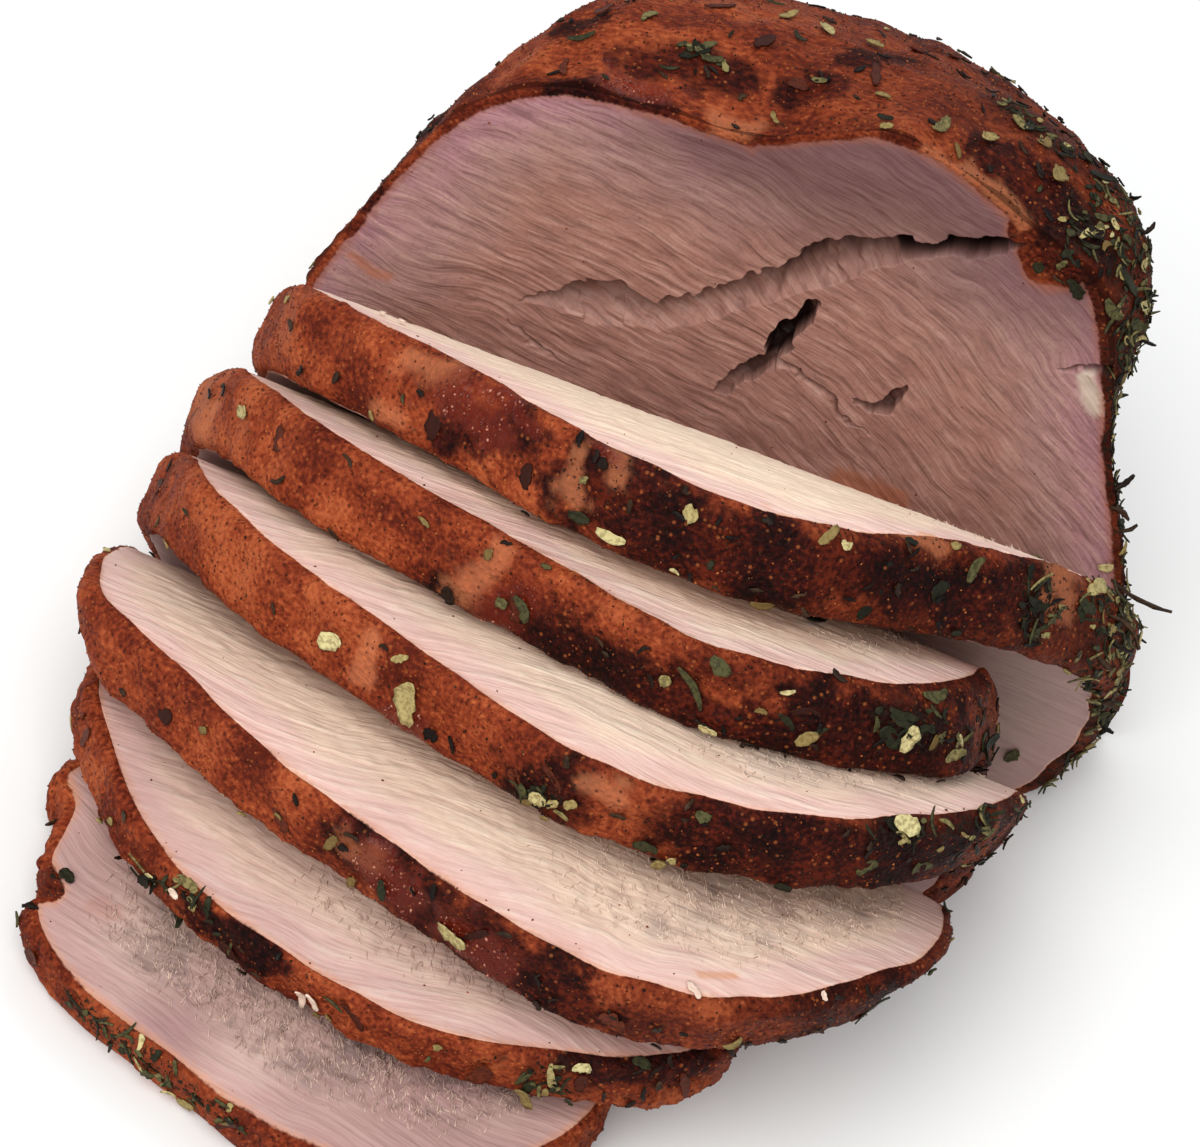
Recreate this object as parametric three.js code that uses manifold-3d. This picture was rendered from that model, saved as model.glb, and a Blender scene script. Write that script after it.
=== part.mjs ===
// Roast pork shoulder, partly carved: an uncut block with a flat cut face, and six slices that
// have fallen forward from it and lie on each other like shingles.
// Millimetres, +Z up, +Y towards the uncut block, origin at the base below the middle of the whole.

import * as THREE from "three";
import { mergeVertices } from "three/addons/utils/BufferGeometryUtils.js";
import Module from "manifold-3d";

const wasm = await Module();
wasm.setup();

// Driving dimensions of the block. Its own frame has the cut face at depth 0.
const BLOCK_AT = [0, -18.5];
const BLOCK_YAW = -5;
const BLOCK_DEPTH = 60;
const BLOCK_CENTRE = [-3, 30];
const RIM_DEPTH = 7;
const SHOULDER_SWELL = 0.07;
const SHOULDER_ANGLE = 38;
const SHOULDER_DEPTH = 26;
const SIDE_TAPER = 0.2;
const BLOCK_SIDES = 76;
const BLOCK_FACE_RINGS = [0.3, 0.6, 0.85, 0.97];
const BLOCK_ROWS = [1.2, 5, 10, 16, 22, 28, 34, 40, 46, 51, 55, 58];

// The block's cut face, as x and z, from the bottom right over the top to the bottom left.
// What lies below z = 0 is cut off, which gives the flat underside.
const BLOCK_OUTLINE = [
  [36, -14], [50, -6], [54.5, 8], [49.5, 22], [46, 32], [41.5, 43], [38, 54], [33, 65], [26.5, 69],
  [14, 75], [5, 77], [-2, 74.5], [-11, 70.3], [-22, 69.7], [-34.5, 68], [-43.5, 62], [-49.5, 52.5],
  [-55.5, 38.5], [-60, 25], [-61.5, 10], [-56, -6], [-40, -14], [-4, -15],
];

// The outline of the body behind it, point for point, and the depth at which it is reached
const BODY_OUTLINE = [
  [36, -14], [50, -6], [53, 8], [47.5, 22], [43, 33], [39, 45], [37.6, 55], [32.6, 64.6], [25, 69.4],
  [14, 73.3], [5, 74.4], [-2, 74.6], [-11, 74.1], [-22, 72.8], [-34.5, 70.3], [-43.5, 63.5],
  [-49.5, 52.5], [-55.5, 38.5], [-60, 25], [-61.5, 10], [-56, -6], [-40, -14], [-4, -15],
];
const BODY_DEPTH = 14;

// The splits in the cut face: a long one that gapes, a short deep one and a pit, as x and z
// along their middle, with their width at each point and their depth
const SPLITS = [
  {
    path: [
      [22.3, 67.2], [16, 64.5], [10, 61.4], [3, 57], [-3, 52.5], [-9.5, 47], [-14, 42.5], [-22, 39],
      [-29, 37.5],
    ],
    width: [1.4, 2.4, 3.2, 3.6, 3.4, 3.0, 3.6, 4.8, 0.8],
    depth: 6,
  },
  {
    path: [[1, 48.6], [-0.8, 45], [-2.2, 41], [-3, 38], [-4.8, 34.6]],
    width: [2.2, 1.8, 1.8, 3.2, 1.6],
    depth: 7,
  },
  {
    path: [[11, 39.6], [13.4, 40.2], [16, 40]],
    width: [0.8, 1.9, 0.8],
    depth: 3,
  },
];

// A split's cross-section: share of its depth, share of its width
const SPLIT_PROFILE = [[-1, 1], [0, 1], [0.55, 0.7], [1, 0.12]];

// The slices from the block outward. x and y place the middle of the foot, yaw turns the slice
// about Z, lean is its angle from upright at the foot and at the crown, twist is how much more it
// leans for each millimetre to the right, sink is how far it is pressed down, bevel is how much
// shorter the front face is than the rear one at the left and the right end, and the outline of
// the rear face runs from the foot's right end over the crown to the left, as distance across and
// distance up along the bent slice.
const SLICES = [
  {
    name: "slice_1", x: -7, y: -26.5, yaw: -7, lean: [8, 73], twist: 0, sink: 0, thick: 10.6,
    bevel: [0, 0],
    outline: [
      [44, -8], [53, 0], [57, 13], [57.5, 31], [53, 48], [45, 61], [35, 70], [24, 80], [10, 84],
      [-8, 81], [-23, 73.5], [-37, 66], [-46, 57], [-51, 40], [-52, 22], [-50, 6], [-42, -8], [0, -9],
    ],
  },
  {
    name: "slice_2", x: -10, y: -38, yaw: -8, lean: [11.5, 78], twist: 0.02, sink: 0, thick: 10,
    bevel: [0, -4],
    outline: [
      [38, -8], [44, 0], [45.5, 13], [45, 29], [44.5, 43], [43, 55], [38, 64.5], [27, 71.5], [14, 74],
      [-4, 70], [-22, 65.5], [-36, 59], [-47, 47], [-53, 32], [-56.5, 16], [-54, 2], [-44, -7], [0, -9],
    ],
  },
  {
    name: "slice_3", x: -7.5, y: -50.1, yaw: -9, lean: [15, 88], twist: 0, sink: 0, thick: 9.9,
    bevel: [0, 4.5],
    outline: [
      [42, -8], [48, 4], [50, 18], [50, 34], [45.5, 50], [35, 61], [22, 67], [6, 69],
      [-9, 65.5], [-24, 60.5], [-38, 54.5], [-50, 44], [-56.5, 31], [-60, 18], [-58, 5], [-47, -7], [0, -9],
    ],
  },
  {
    name: "slice_4", x: -14.5, y: -60.7, yaw: -10, lean: [33, 92], twist: 0.05, sink: 0, thick: 9,
    bevel: [2.5, 4.5],
    outline: [
      [42, -2], [49, 7], [53, 22], [52, 36], [46, 47], [37, 55.5], [24, 60], [10, 60],
      [-8, 57], [-24, 53], [-38, 46.5], [-48, 41], [-53, 30], [-54.5, 14], [-47, 0], [0, -3],
    ],
  },
  {
    name: "slice_5", x: -20, y: -74.9, yaw: -17, lean: [45, 100], twist: 0.05, sink: 0, thick: 7.2,
    bevel: [0, 0],
    outline: [
      [32, -5], [39, 8], [41, 22], [37, 31], [27, 38], [14, 43.5], [0, 44.5], [-14, 43.5],
      [-25, 40], [-33.5, 34], [-39.5, 28], [-44, 21], [-44, 10], [-36, -4], [0, -8],
    ],
  },
  {
    name: "slice_6", x: -22, y: -87, yaw: -23.5, lean: [77, 101.5], twist: 0, sink: 0.9, thick: 7.4,
    bevel: [0, 0],
    outline: [
      [25, 4], [32, 12], [31, 24], [23, 34], [8, 39.5], [-9, 39.5], [-20, 39], [-27, 37],
      [-31.5, 33.5], [-30, 31], [-34, 28.5], [-36, 24], [-37.5, 20.5], [-41, 17.5], [-39, 11],
      [-29, 5], [0, 2],
    ],
  },
];
const SLICE_SIDES = 48;
const BEVEL_REACH = 50;
const FACE_RINGS = [0.35, 0.65, 0.85, 0.96];
const CRUST_PROFILE = [[0.992, -0.86], [1.006, -0.3], [1.006, 0.3], [0.992, 0.86]];

// A slice's middle, as a share of its crown's height
const MIDDLE_HEIGHT = 0.42;

// Uneven crust: long swells and short crags, and the mean radius that they are spread over
const SWELL = 0.7;
const CRAG = 0.45;
const BLOCK_RADIUS = 50;
const SLICE_RADIUS = 55;

// Dried herb flakes on the crust
const FLAKES_ON_BLOCK = 36;
const FLAKES_ON_SLICE = 7;
const FLAKES_TO_THE_RIGHT = 1.7;
const FLAKE_THICKNESS = 1.1;
const NEEDLE = [6.5, 1.5];
const LEAF = [4.4, 2.6];

const ROOM_SIZE = 400;
const SMALLEST_DETAIL = 0.02;

// Brings the middle of the whole over the origin
const CENTRE_SHIFT = [7.92, 43.44];

const crust = new THREE.MeshStandardMaterial({ color: 0x7a3216, roughness: 0.6, metalness: 0 });
const meat = new THREE.MeshStandardMaterial({ color: 0xb98270, roughness: 0.55, metalness: 0 });

const radians = THREE.MathUtils.degToRad;

// A repeatable draw between 0 and 1
function makeRandom(seed) {
  let state = seed;
  return () => {
    state = (state * 16807) % 2147483647;
    return state / 2147483647;
  };
}

// The closed smooth curve through the given points
function closedCurve(points) {
  return new THREE.CatmullRomCurve3(
    points.map(([a, b]) => new THREE.Vector3(a, b, 0)),
    true,
    "catmullrom",
    0.5,
  );
}

function closedOutline(points, count) {
  return closedCurve(points).getSpacedPoints(count).slice(0, count).map((p) => [p.x, p.y]);
}

// Slow, repeatable unevenness, about -1 to 1
function unevenness(x, y, z, seed) {
  const a = Math.sin(0.11 * x + 1.7 * seed) * Math.cos(0.13 * z + 0.9 * seed);
  const b = Math.sin(0.23 * y + 0.19 * z + 2.3 * seed);
  return 0.6 * a + 0.4 * b;
}

function crags(x, y, z, seed) {
  const a = Math.sin(0.61 * x + 0.37 * z + seed);
  const b = Math.sin(0.53 * y - 0.47 * z + 2 * seed);
  return 0.5 * a + 0.5 * b * Math.cos(0.41 * x + seed);
}

// A closed shell from rings of vertices between two end points
function shellGeometry(first, rings, last) {
  const positions = [...first, ...rings.flat(2), ...last];
  const sides = rings[0].length;
  const lastIndex = 1 + rings.length * sides;
  const index = [];
  const at = (ring, side) => 1 + ring * sides + (side % sides);
  for (let side = 0; side < sides; side += 1) {
    index.push(0, at(0, side), at(0, side + 1));
    index.push(lastIndex, at(rings.length - 1, side + 1), at(rings.length - 1, side));
  }
  for (let ring = 0; ring + 1 < rings.length; ring += 1) {
    for (let side = 0; side < sides; side += 1) {
      index.push(at(ring, side), at(ring + 1, side), at(ring + 1, side + 1));
      index.push(at(ring, side), at(ring + 1, side + 1), at(ring, side + 1));
    }
  }
  const geometry = new THREE.BufferGeometry();
  geometry.setAttribute("position", new THREE.Float32BufferAttribute(positions, 3));
  geometry.setIndex(index);
  return geometry;
}

function toSolid(geometry) {
  const bare = geometry.clone();
  bare.deleteAttribute("normal");
  bare.deleteAttribute("uv");
  const merged = mergeVertices(bare, 1e-4);
  return new wasm.Manifold(
    new wasm.Mesh({
      numProp: 3,
      vertProperties: new Float32Array(merged.attributes.position.array),
      triVerts: new Uint32Array(merged.index.array),
    }),
  );
}

function toGeometry(solid) {
  const { vertProperties, triVerts } = solid.getMesh();
  const geometry = new THREE.BufferGeometry();
  geometry.setAttribute("position", new THREE.BufferAttribute(new Float32Array(vertProperties), 3));
  geometry.setIndex(new THREE.BufferAttribute(new Uint32Array(triVerts), 1));
  geometry.computeVertexNormals();
  return geometry;
}

// What lies above z = 0
function aboveBase(solid) {
  const room = new THREE.BoxGeometry(ROOM_SIZE, ROOM_SIZE, ROOM_SIZE);
  room.translate(0, 0, ROOM_SIZE / 2);
  return solid.intersect(toSolid(room));
}

// Between a point of the cut face's outline and one of the body's
function outlinePoint(face, body, depth) {
  const turned = THREE.MathUtils.smoothstep(depth, 0, BODY_DEPTH);
  return face.map((value, i) => THREE.MathUtils.lerp(value, body[i], turned));
}

// The block's surface at an outline point, a share of the way out from its centre, and a depth
function blockPoint([x, z], share, depth) {
  const past = Math.max(0, depth - RIM_DEPTH) / (BLOCK_DEPTH - RIM_DEPTH);
  const dome = Math.sqrt(Math.max(0, 1 - past * past));
  const across = x - BLOCK_CENTRE[0];
  const up = z - BLOCK_CENTRE[1];
  const fromShoulder = Math.atan2(up, across) - radians(SHOULDER_ANGLE);
  const sharpness = fromShoulder < 0 ? 22 : 3;
  const shoulder = Math.max(0, Math.cos(fromShoulder)) ** sharpness;
  const swell = 1 + SHOULDER_SWELL * shoulder * Math.sin(Math.PI * Math.min(1, depth / SHOULDER_DEPTH));
  const taper = 1 - SIDE_TAPER * (1 - shoulder) * (depth / BLOCK_DEPTH);
  const rough = depth === 0 ? 0 : SWELL * unevenness(x, depth, z, 1) + CRAG * crags(x, depth, z, 1);
  const reach = share * dome * swell * (1 + rough / BLOCK_RADIUS);
  return [BLOCK_CENTRE[0] + across * reach * taper, depth, BLOCK_CENTRE[1] + up * reach];
}

// A split: a curved trough, sunk into the cut face and narrower at its bottom
function splitSolid({ path, width, depth }) {
  const rings = [];
  for (const [sink, spread] of SPLIT_PROFILE) {
    const ring = [];
    const place = (i, sign) => {
      const before = path[Math.max(0, i - 1)];
      const after = path[Math.min(path.length - 1, i + 1)];
      const length = Math.hypot(after[0] - before[0], after[1] - before[1]);
      const normal = [-(after[1] - before[1]) / length, (after[0] - before[0]) / length];
      const offset = sign * spread * width[i] * 0.5;
      ring.push([path[i][0] + normal[0] * offset, sink * depth, path[i][1] + normal[1] * offset]);
    };
    for (let i = 0; i < path.length; i += 1) {
      place(i, -1);
    }
    for (let i = path.length - 1; i >= 0; i -= 1) {
      place(i, 1);
    }
    rings.push(ring);
  }
  const middle = path[Math.floor(path.length / 2)];
  const front = [middle[0], -depth, middle[1]];
  const back = [middle[0], depth, middle[1]];
  return toSolid(shellGeometry(front, rings, back));
}

function blockSolid() {
  const face = closedOutline(BLOCK_OUTLINE, BLOCK_SIDES);
  const body = closedOutline(BODY_OUTLINE, BLOCK_SIDES);
  const rings = [];
  for (const share of BLOCK_FACE_RINGS) {
    rings.push(face.map((p) => blockPoint(p, share, 0)));
  }
  for (const depth of BLOCK_ROWS) {
    rings.push(face.map((p, i) => blockPoint(outlinePoint(p, body[i], depth), 1, depth)));
  }
  const front = [BLOCK_CENTRE[0], 0, BLOCK_CENTRE[1]];
  const back = [BLOCK_CENTRE[0], BLOCK_DEPTH, BLOCK_CENTRE[1]];
  return toSolid(shellGeometry(front, rings, back));
}

function crownHeight(slice) {
  return Math.max(...slice.outline.map(([, up]) => up));
}

// How far across a point lies once its end of the slice is bevelled
function bevelled({ bevel, thick }, across, out) {
  const amount = across < 0 ? bevel[0] : bevel[1];
  const towardsEnd = (across / BEVEL_REACH) ** 2;
  return across - Math.sign(across) * amount * towardsEnd * (0.5 - out / thick);
}

// A point of a bent slice: across, up along the bend, and out from its middle towards the block
function slicePoint(slice, across, up, out) {
  const foot = radians(slice.lean[0] + slice.twist * across);
  const bend = radians(slice.lean[1] - slice.lean[0]) / crownHeight(slice);
  const lean = foot + bend * up;
  const forward = -(Math.cos(foot) - Math.cos(lean)) / bend + out * Math.cos(lean);
  const lift = (slice.thick / 2) * Math.sin(radians(slice.lean[0])) - slice.sink;
  const height = (Math.sin(lean) - Math.sin(foot)) / bend + out * Math.sin(lean) + lift;
  return [bevelled(slice, across, out), forward, height];
}

// A slice's outline point, a share of the way out from its middle, on a layer of its thickness
function roughSlicePoint(slice, [u, v], share, out, seed) {
  const middle = MIDDLE_HEIGHT * crownHeight(slice);
  const rough = share > 0.9 ? SWELL * unevenness(u, v, out, seed) + CRAG * crags(u, v, out, seed) : 0;
  const reach = share * (1 + rough / SLICE_RADIUS);
  return slicePoint(slice, u * reach, middle + (v - middle) * reach, out);
}

function sliceSolid(slice, seed) {
  const outline = closedOutline(slice.outline, SLICE_SIDES);
  const half = slice.thick / 2;
  const ringAt = (share, out) => outline.map((p) => roughSlicePoint(slice, p, share, out, seed));
  const rings = [
    ...FACE_RINGS.map((share) => ringAt(share, -half)),
    ...CRUST_PROFILE.map(([share, out]) => ringAt(share, out * half)),
    ...[...FACE_RINGS].reverse().map((share) => ringAt(share, half)),
  ];
  const first = roughSlicePoint(slice, outline[0], 0, -half, seed);
  const last = roughSlicePoint(slice, outline[0], 0, half, seed);
  return toSolid(shellGeometry(first, rings, last));
}

// A thin leaf flake lying on the crust
function flakeSolid(position, normal, length, width, spin) {
  const flake = new THREE.SphereGeometry(0.5, 6, 3);
  flake.scale(length, width, FLAKE_THICKNESS);
  flake.rotateZ(spin);
  const turn = new THREE.Quaternion().setFromUnitVectors(new THREE.Vector3(0, 0, 1), normal);
  flake.applyQuaternion(turn);
  flake.translate(position.x, position.y, position.z);
  return toSolid(flake);
}

// The place and the outward direction on a crust, from a function of the way round and across it
function crustFrame(pointAt, round, across) {
  const origin = new THREE.Vector3(...pointAt(round, across));
  const alongRound = new THREE.Vector3(...pointAt(round + 0.004, across)).sub(origin);
  const alongAcross = new THREE.Vector3(...pointAt(round, across + 0.5)).sub(origin);
  return { origin, normal: alongAcross.cross(alongRound).normalize() };
}

// Flakes spread round a crust by a seeded draw, closest together at the right, fused to it
function withFlakes(solid, { count, seed, round, across, pointAt }) {
  const random = makeRandom(seed);
  let result = solid;
  for (let i = 0; i < count; i += 1) {
    const share = ((i + random()) / count) ** FLAKES_TO_THE_RIGHT;
    const at = round[0] + (round[1] - round[0]) * share;
    const { origin, normal } = crustFrame(pointAt, at, across[0] + (across[1] - across[0]) * random());
    const [length, width] = i % 3 === 0 ? NEEDLE : LEAF;
    const size = 0.8 + 0.4 * random();
    result = result.add(flakeSolid(origin, normal, length * size, width * size, Math.PI * random()));
  }
  return result.simplify(SMALLEST_DETAIL);
}

function part(name, solid, material, [x, y], yaw) {
  const mesh = new THREE.Mesh(toGeometry(solid), material);
  mesh.name = name;
  mesh.position.set(x, y, 0);
  mesh.rotation.z = radians(yaw);
  return mesh;
}

function roastBlock() {
  let solid = aboveBase(blockSolid());
  for (const split of SPLITS) {
    solid = solid.subtract(splitSolid(split));
  }
  const face = closedCurve(BLOCK_OUTLINE);
  const body = closedCurve(BODY_OUTLINE);
  const pointAt = (round, depth) => {
    const ends = [face, body].map((curve) => curve.getPointAt(round).toArray().slice(0, 2));
    return blockPoint(outlinePoint(...ends, depth), 1, depth);
  };
  const dressed = withFlakes(solid, {
    count: FLAKES_ON_BLOCK, seed: 11, round: [0.1, 0.62], across: [3, 40], pointAt,
  });
  return part("roast_block", dressed, crust, BLOCK_AT, BLOCK_YAW);
}

function carvedSlice(slice, seed) {
  const curve = closedCurve(slice.outline);
  const pointAt = (round, out) => {
    const p = curve.getPointAt(round);
    return roughSlicePoint(slice, [p.x, p.y], 1, out, seed);
  };
  const reach = slice.thick * 0.22;
  const dressed = withFlakes(aboveBase(sliceSolid(slice, seed)), {
    count: FLAKES_ON_SLICE, seed: 20 + seed, round: [0.16, 0.66], across: [-reach, reach], pointAt,
  });
  return part(slice.name, dressed, meat, [slice.x, slice.y], slice.yaw);
}

const roast = new THREE.Group();
const shingled = new THREE.Group();
shingled.add(roastBlock());
SLICES.forEach((slice, i) => shingled.add(carvedSlice(slice, i + 2)));
shingled.position.set(CENTRE_SHIFT[0], CENTRE_SHIFT[1], 0);
roast.add(shingled);

export default roast;
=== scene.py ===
# Looks of the partly carved roast pork shoulder: an uncut block and six slices in front of it.
# Shapes are worked out in millimetres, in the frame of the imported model, and made in metres.

import math

import bmesh
import bpy
import numpy as np
from mathutils import Matrix, Vector
from mathutils.bvhtree import BVHTree


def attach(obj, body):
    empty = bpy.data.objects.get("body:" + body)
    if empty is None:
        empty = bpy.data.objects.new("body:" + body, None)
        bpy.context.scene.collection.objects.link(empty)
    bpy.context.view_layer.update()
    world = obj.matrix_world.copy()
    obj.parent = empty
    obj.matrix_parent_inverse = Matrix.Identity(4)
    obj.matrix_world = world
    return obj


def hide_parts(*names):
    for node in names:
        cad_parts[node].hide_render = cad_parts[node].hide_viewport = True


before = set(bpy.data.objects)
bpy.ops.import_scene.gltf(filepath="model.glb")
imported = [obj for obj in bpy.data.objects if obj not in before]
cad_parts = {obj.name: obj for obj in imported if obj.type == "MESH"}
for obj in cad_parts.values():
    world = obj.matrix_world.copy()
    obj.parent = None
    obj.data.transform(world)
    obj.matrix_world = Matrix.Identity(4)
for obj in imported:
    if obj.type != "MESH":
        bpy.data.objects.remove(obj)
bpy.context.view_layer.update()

MM = 0.001
# From the pieces' own places to the frame of the model, right and back
CENTRE_SHIFT = (7.92, 43.44)

# Camera: it looks along +Y and down, rolled so that level lines fall to the right. One pixel shows
# the target, at a depth along the view.
IMAGE_SIZE = (1200, 1147)
SENSOR_WIDTH = 36.0
LENS = 108.0
ELEVATION = 42.0
ROLL = 16.0
TARGET = (*CENTRE_SHIFT, 0.0)
TARGET_PIXEL = (728, 507)
TARGET_DEPTH = 477.7
CLIP_START = 0.01

# Lights, each with its place in metres, size, power and colour, and the floor and the sky
LIGHTS = {
    "key_light": ((-0.17, -0.55, 0.76), 1.0, 9.7, (1.0, 0.985, 0.96)),
    "rear_light": ((0.1, 0.7, 0.7), 0.7, 2.2, (1.0, 0.98, 0.95)),
}
FLOOR_COLOUR = (0.84, 0.84, 0.825, 1.0)
FLOOR_REACH = 3.0
SKY_COLOUR = (0.9, 0.94, 1.0, 1.0)
SKY_STRENGTH = 0.58

# The block. Its own frame has the cut face at depth 0.
BLOCK_AT = (0, -18.5)
BLOCK_YAW = -5
BLOCK_DEPTH = 60
BLOCK_CENTRE = (-3, 30)
# The depth at which it starts to close, the swell of its right shoulder and the taper of its sides
RIM_DEPTH = 7
SHOULDER_SWELL = 0.07
SHOULDER_ANGLE = 38
SHOULDER_DEPTH = 26
SIDE_TAPER = 0.2
BLOCK_OUTLINE = [
    (36, -14), (50, -6), (54.5, 8), (49.5, 22), (46, 32), (41.5, 43), (38, 54), (33, 65), (26.5, 69),
    (14, 75), (5, 77), (-2, 74.5), (-11, 70.3), (-22, 69.7), (-34.5, 68), (-43.5, 62), (-49.5, 52.5),
    (-55.5, 38.5), (-60, 25), (-61.5, 10), (-56, -6), (-40, -14), (-4, -15),
]
# The outline of the body behind it, point for point, and the depth at which it is reached
BODY_OUTLINE = [
    (36, -14), (50, -6), (53, 8), (47.5, 22), (43, 33), (39, 45), (37.6, 55), (32.6, 64.6),
    (25, 69.4), (14, 73.3), (5, 74.4), (-2, 74.6), (-11, 74.1), (-22, 72.8), (-34.5, 70.3),
    (-43.5, 63.5), (-49.5, 52.5), (-55.5, 38.5), (-60, 25), (-61.5, 10), (-56, -6), (-40, -14),
    (-4, -15),
]
BODY_DEPTH = 14
# The fibres of the cut face: their angles from left to right, the places where they bend from one
# to the next, and how gently
FIBRE_ANGLES = [-7, -21, -39]
FIBRE_BENDS = [(-8, 45), (10, 38)]
FIBRE_EASE = 1.5
FIBRE_RUN = (0.94, -0.34)
# Layers of noise: the size of the lumps in mm (or along, across and through the fibres), their height
# in mm and a seed. They shape the lips of the grooves, the fibres' course and the cut face.
RAGGED_LIPS = [[(1.1, 0.4, 5), (3.2, 0.5, 7)], [(1.1, 0.4, 6), (3.2, 0.5, 9)]]
BLOCK_BENDS = [(12, 1.1, 21), (4, 0.4, 22)]
BLOCK_STRANDS = [((6, 1.0, 3), 0.09, 3), ((10, 2.6, 4), 0.14, 4), ((4, 0.5, 2), 0.06, 13)]
BLOCK_WAVES = [(12, 0.3, 8), (6, 0.15, 25), (1.6, 0.1, 15)]
# Grooves in the cut face: the floor drops at the lip and comes back up over the width, on the
# right-hand side of the lip's direction. A profile has places over the width, and the depth and the
# painted shade at each. Each point of a lip has its place, x and z, the width, the depth and how dark its
# painted shade is.
WEDGE = ([0, 0.1, 0.3, 1], [0, 1, 0.85, 0], [0.6, 1, 0.75, 0])
TROUGH = ([0, 0.15, 0.8, 1], [0, 1, 0.85, 0], [0.8, 1, 1, 0.5])
GROOVES = [
    (WEDGE, [
        (-33, 35.5, 0.4, 0.3, 0.2), (-30, 38.5, 3.2, 1.6, 0.5), (-27.5, 40.8, 5.6, 3, 0.62),
        (-21, 44, 6.4, 3.2, 0.64), (-16.5, 42.8, 4.4, 2, 0.5), (-11, 47, 3.8, 2.4, 0.55),
        (-5.5, 52, 4.4, 4.2, 0.76), (-0.3, 58.3, 5.6, 6, 0.9), (3.2, 60.8, 5.2, 6.6, 0.96),
        (7.2, 62.6, 4.2, 7, 1),
    ]),
    (TROUGH, [
        (9.4, 63.4, 3, 6.5, 1), (12.4, 64.7, 2.2, 6, 1), (15.6, 66.3, 2.9, 6, 1),
        (19, 67.4, 2.6, 6, 1), (23, 68.2, 0.9, 3, 0.8),
    ]),
    (TROUGH, [
        (-2.8, 40.6, 1.6, 4, 0.9), (-2.2, 43, 2.9, 6, 0.95), (-0.8, 46.5, 3, 5, 0.9),
        (0.4, 49.3, 2.2, 2.5, 0.75),
    ]),
    (TROUGH, [
        (-6, 34.2, 1.8, 1.2, 0.55), (-5, 37, 2.9, 2.6, 0.75), (-2.7, 40.4, 2.2, 2.2, 0.75),
    ]),
    (WEDGE, [
        (-0.6, 41.4, 1.4, 2.2, 0.5), (2.8, 39.8, 0.9, 1.2, 0.4), (7.2, 37.4, 1.1, 1.4, 0.4),
        (12.6, 34.2, 0.5, 0.4, 0.2),
    ]),
    (TROUGH, [
        (10.2, 38.6, 1, 1, 0.5), (12.8, 39.9, 2.4, 2.6, 0.7), (15.2, 42.6, 0.8, 1.2, 0.5),
    ]),
    (WEDGE, [
        (-33.5, 33, 0.5, 0.3, 0.3), (-29, 30.8, 1.2, 1, 0.5), (-26, 29, 0.4, 0.3, 0.3),
    ]),
    (WEDGE, [
        (32, 53.2, 0.6, 0.4, 0.4), (35, 54.6, 1.3, 2.2, 0.7), (39, 57, 2.6, 4, 0.9),
    ]),
]
# Where the crust comes over the edge of the cut face: places and radii
CRUST_OVER_FACE = [(27, 67.5, 3.2), (23.5, 70.5, 2.0), (-13, 72, 2.6)]
# The upper right of the cut face is darkened with painted shade: heights and places across between
# which that sets in
SHADE_UPWARDS = (50, 69)
SHADE_TO_THE_RIGHT = (-36, -14)
# Layers of noise in the edges of that and of the crust
SHADE_EDGE = [(10, 3, 33)]
CRUST_EDGE = [(2.5, 0.8, 3)]
# How close to a groove the face is divided more finely, and a distance beyond any on the face
CLOSE_TO_GROOVE = 0.6
FAR = 99.0
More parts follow.
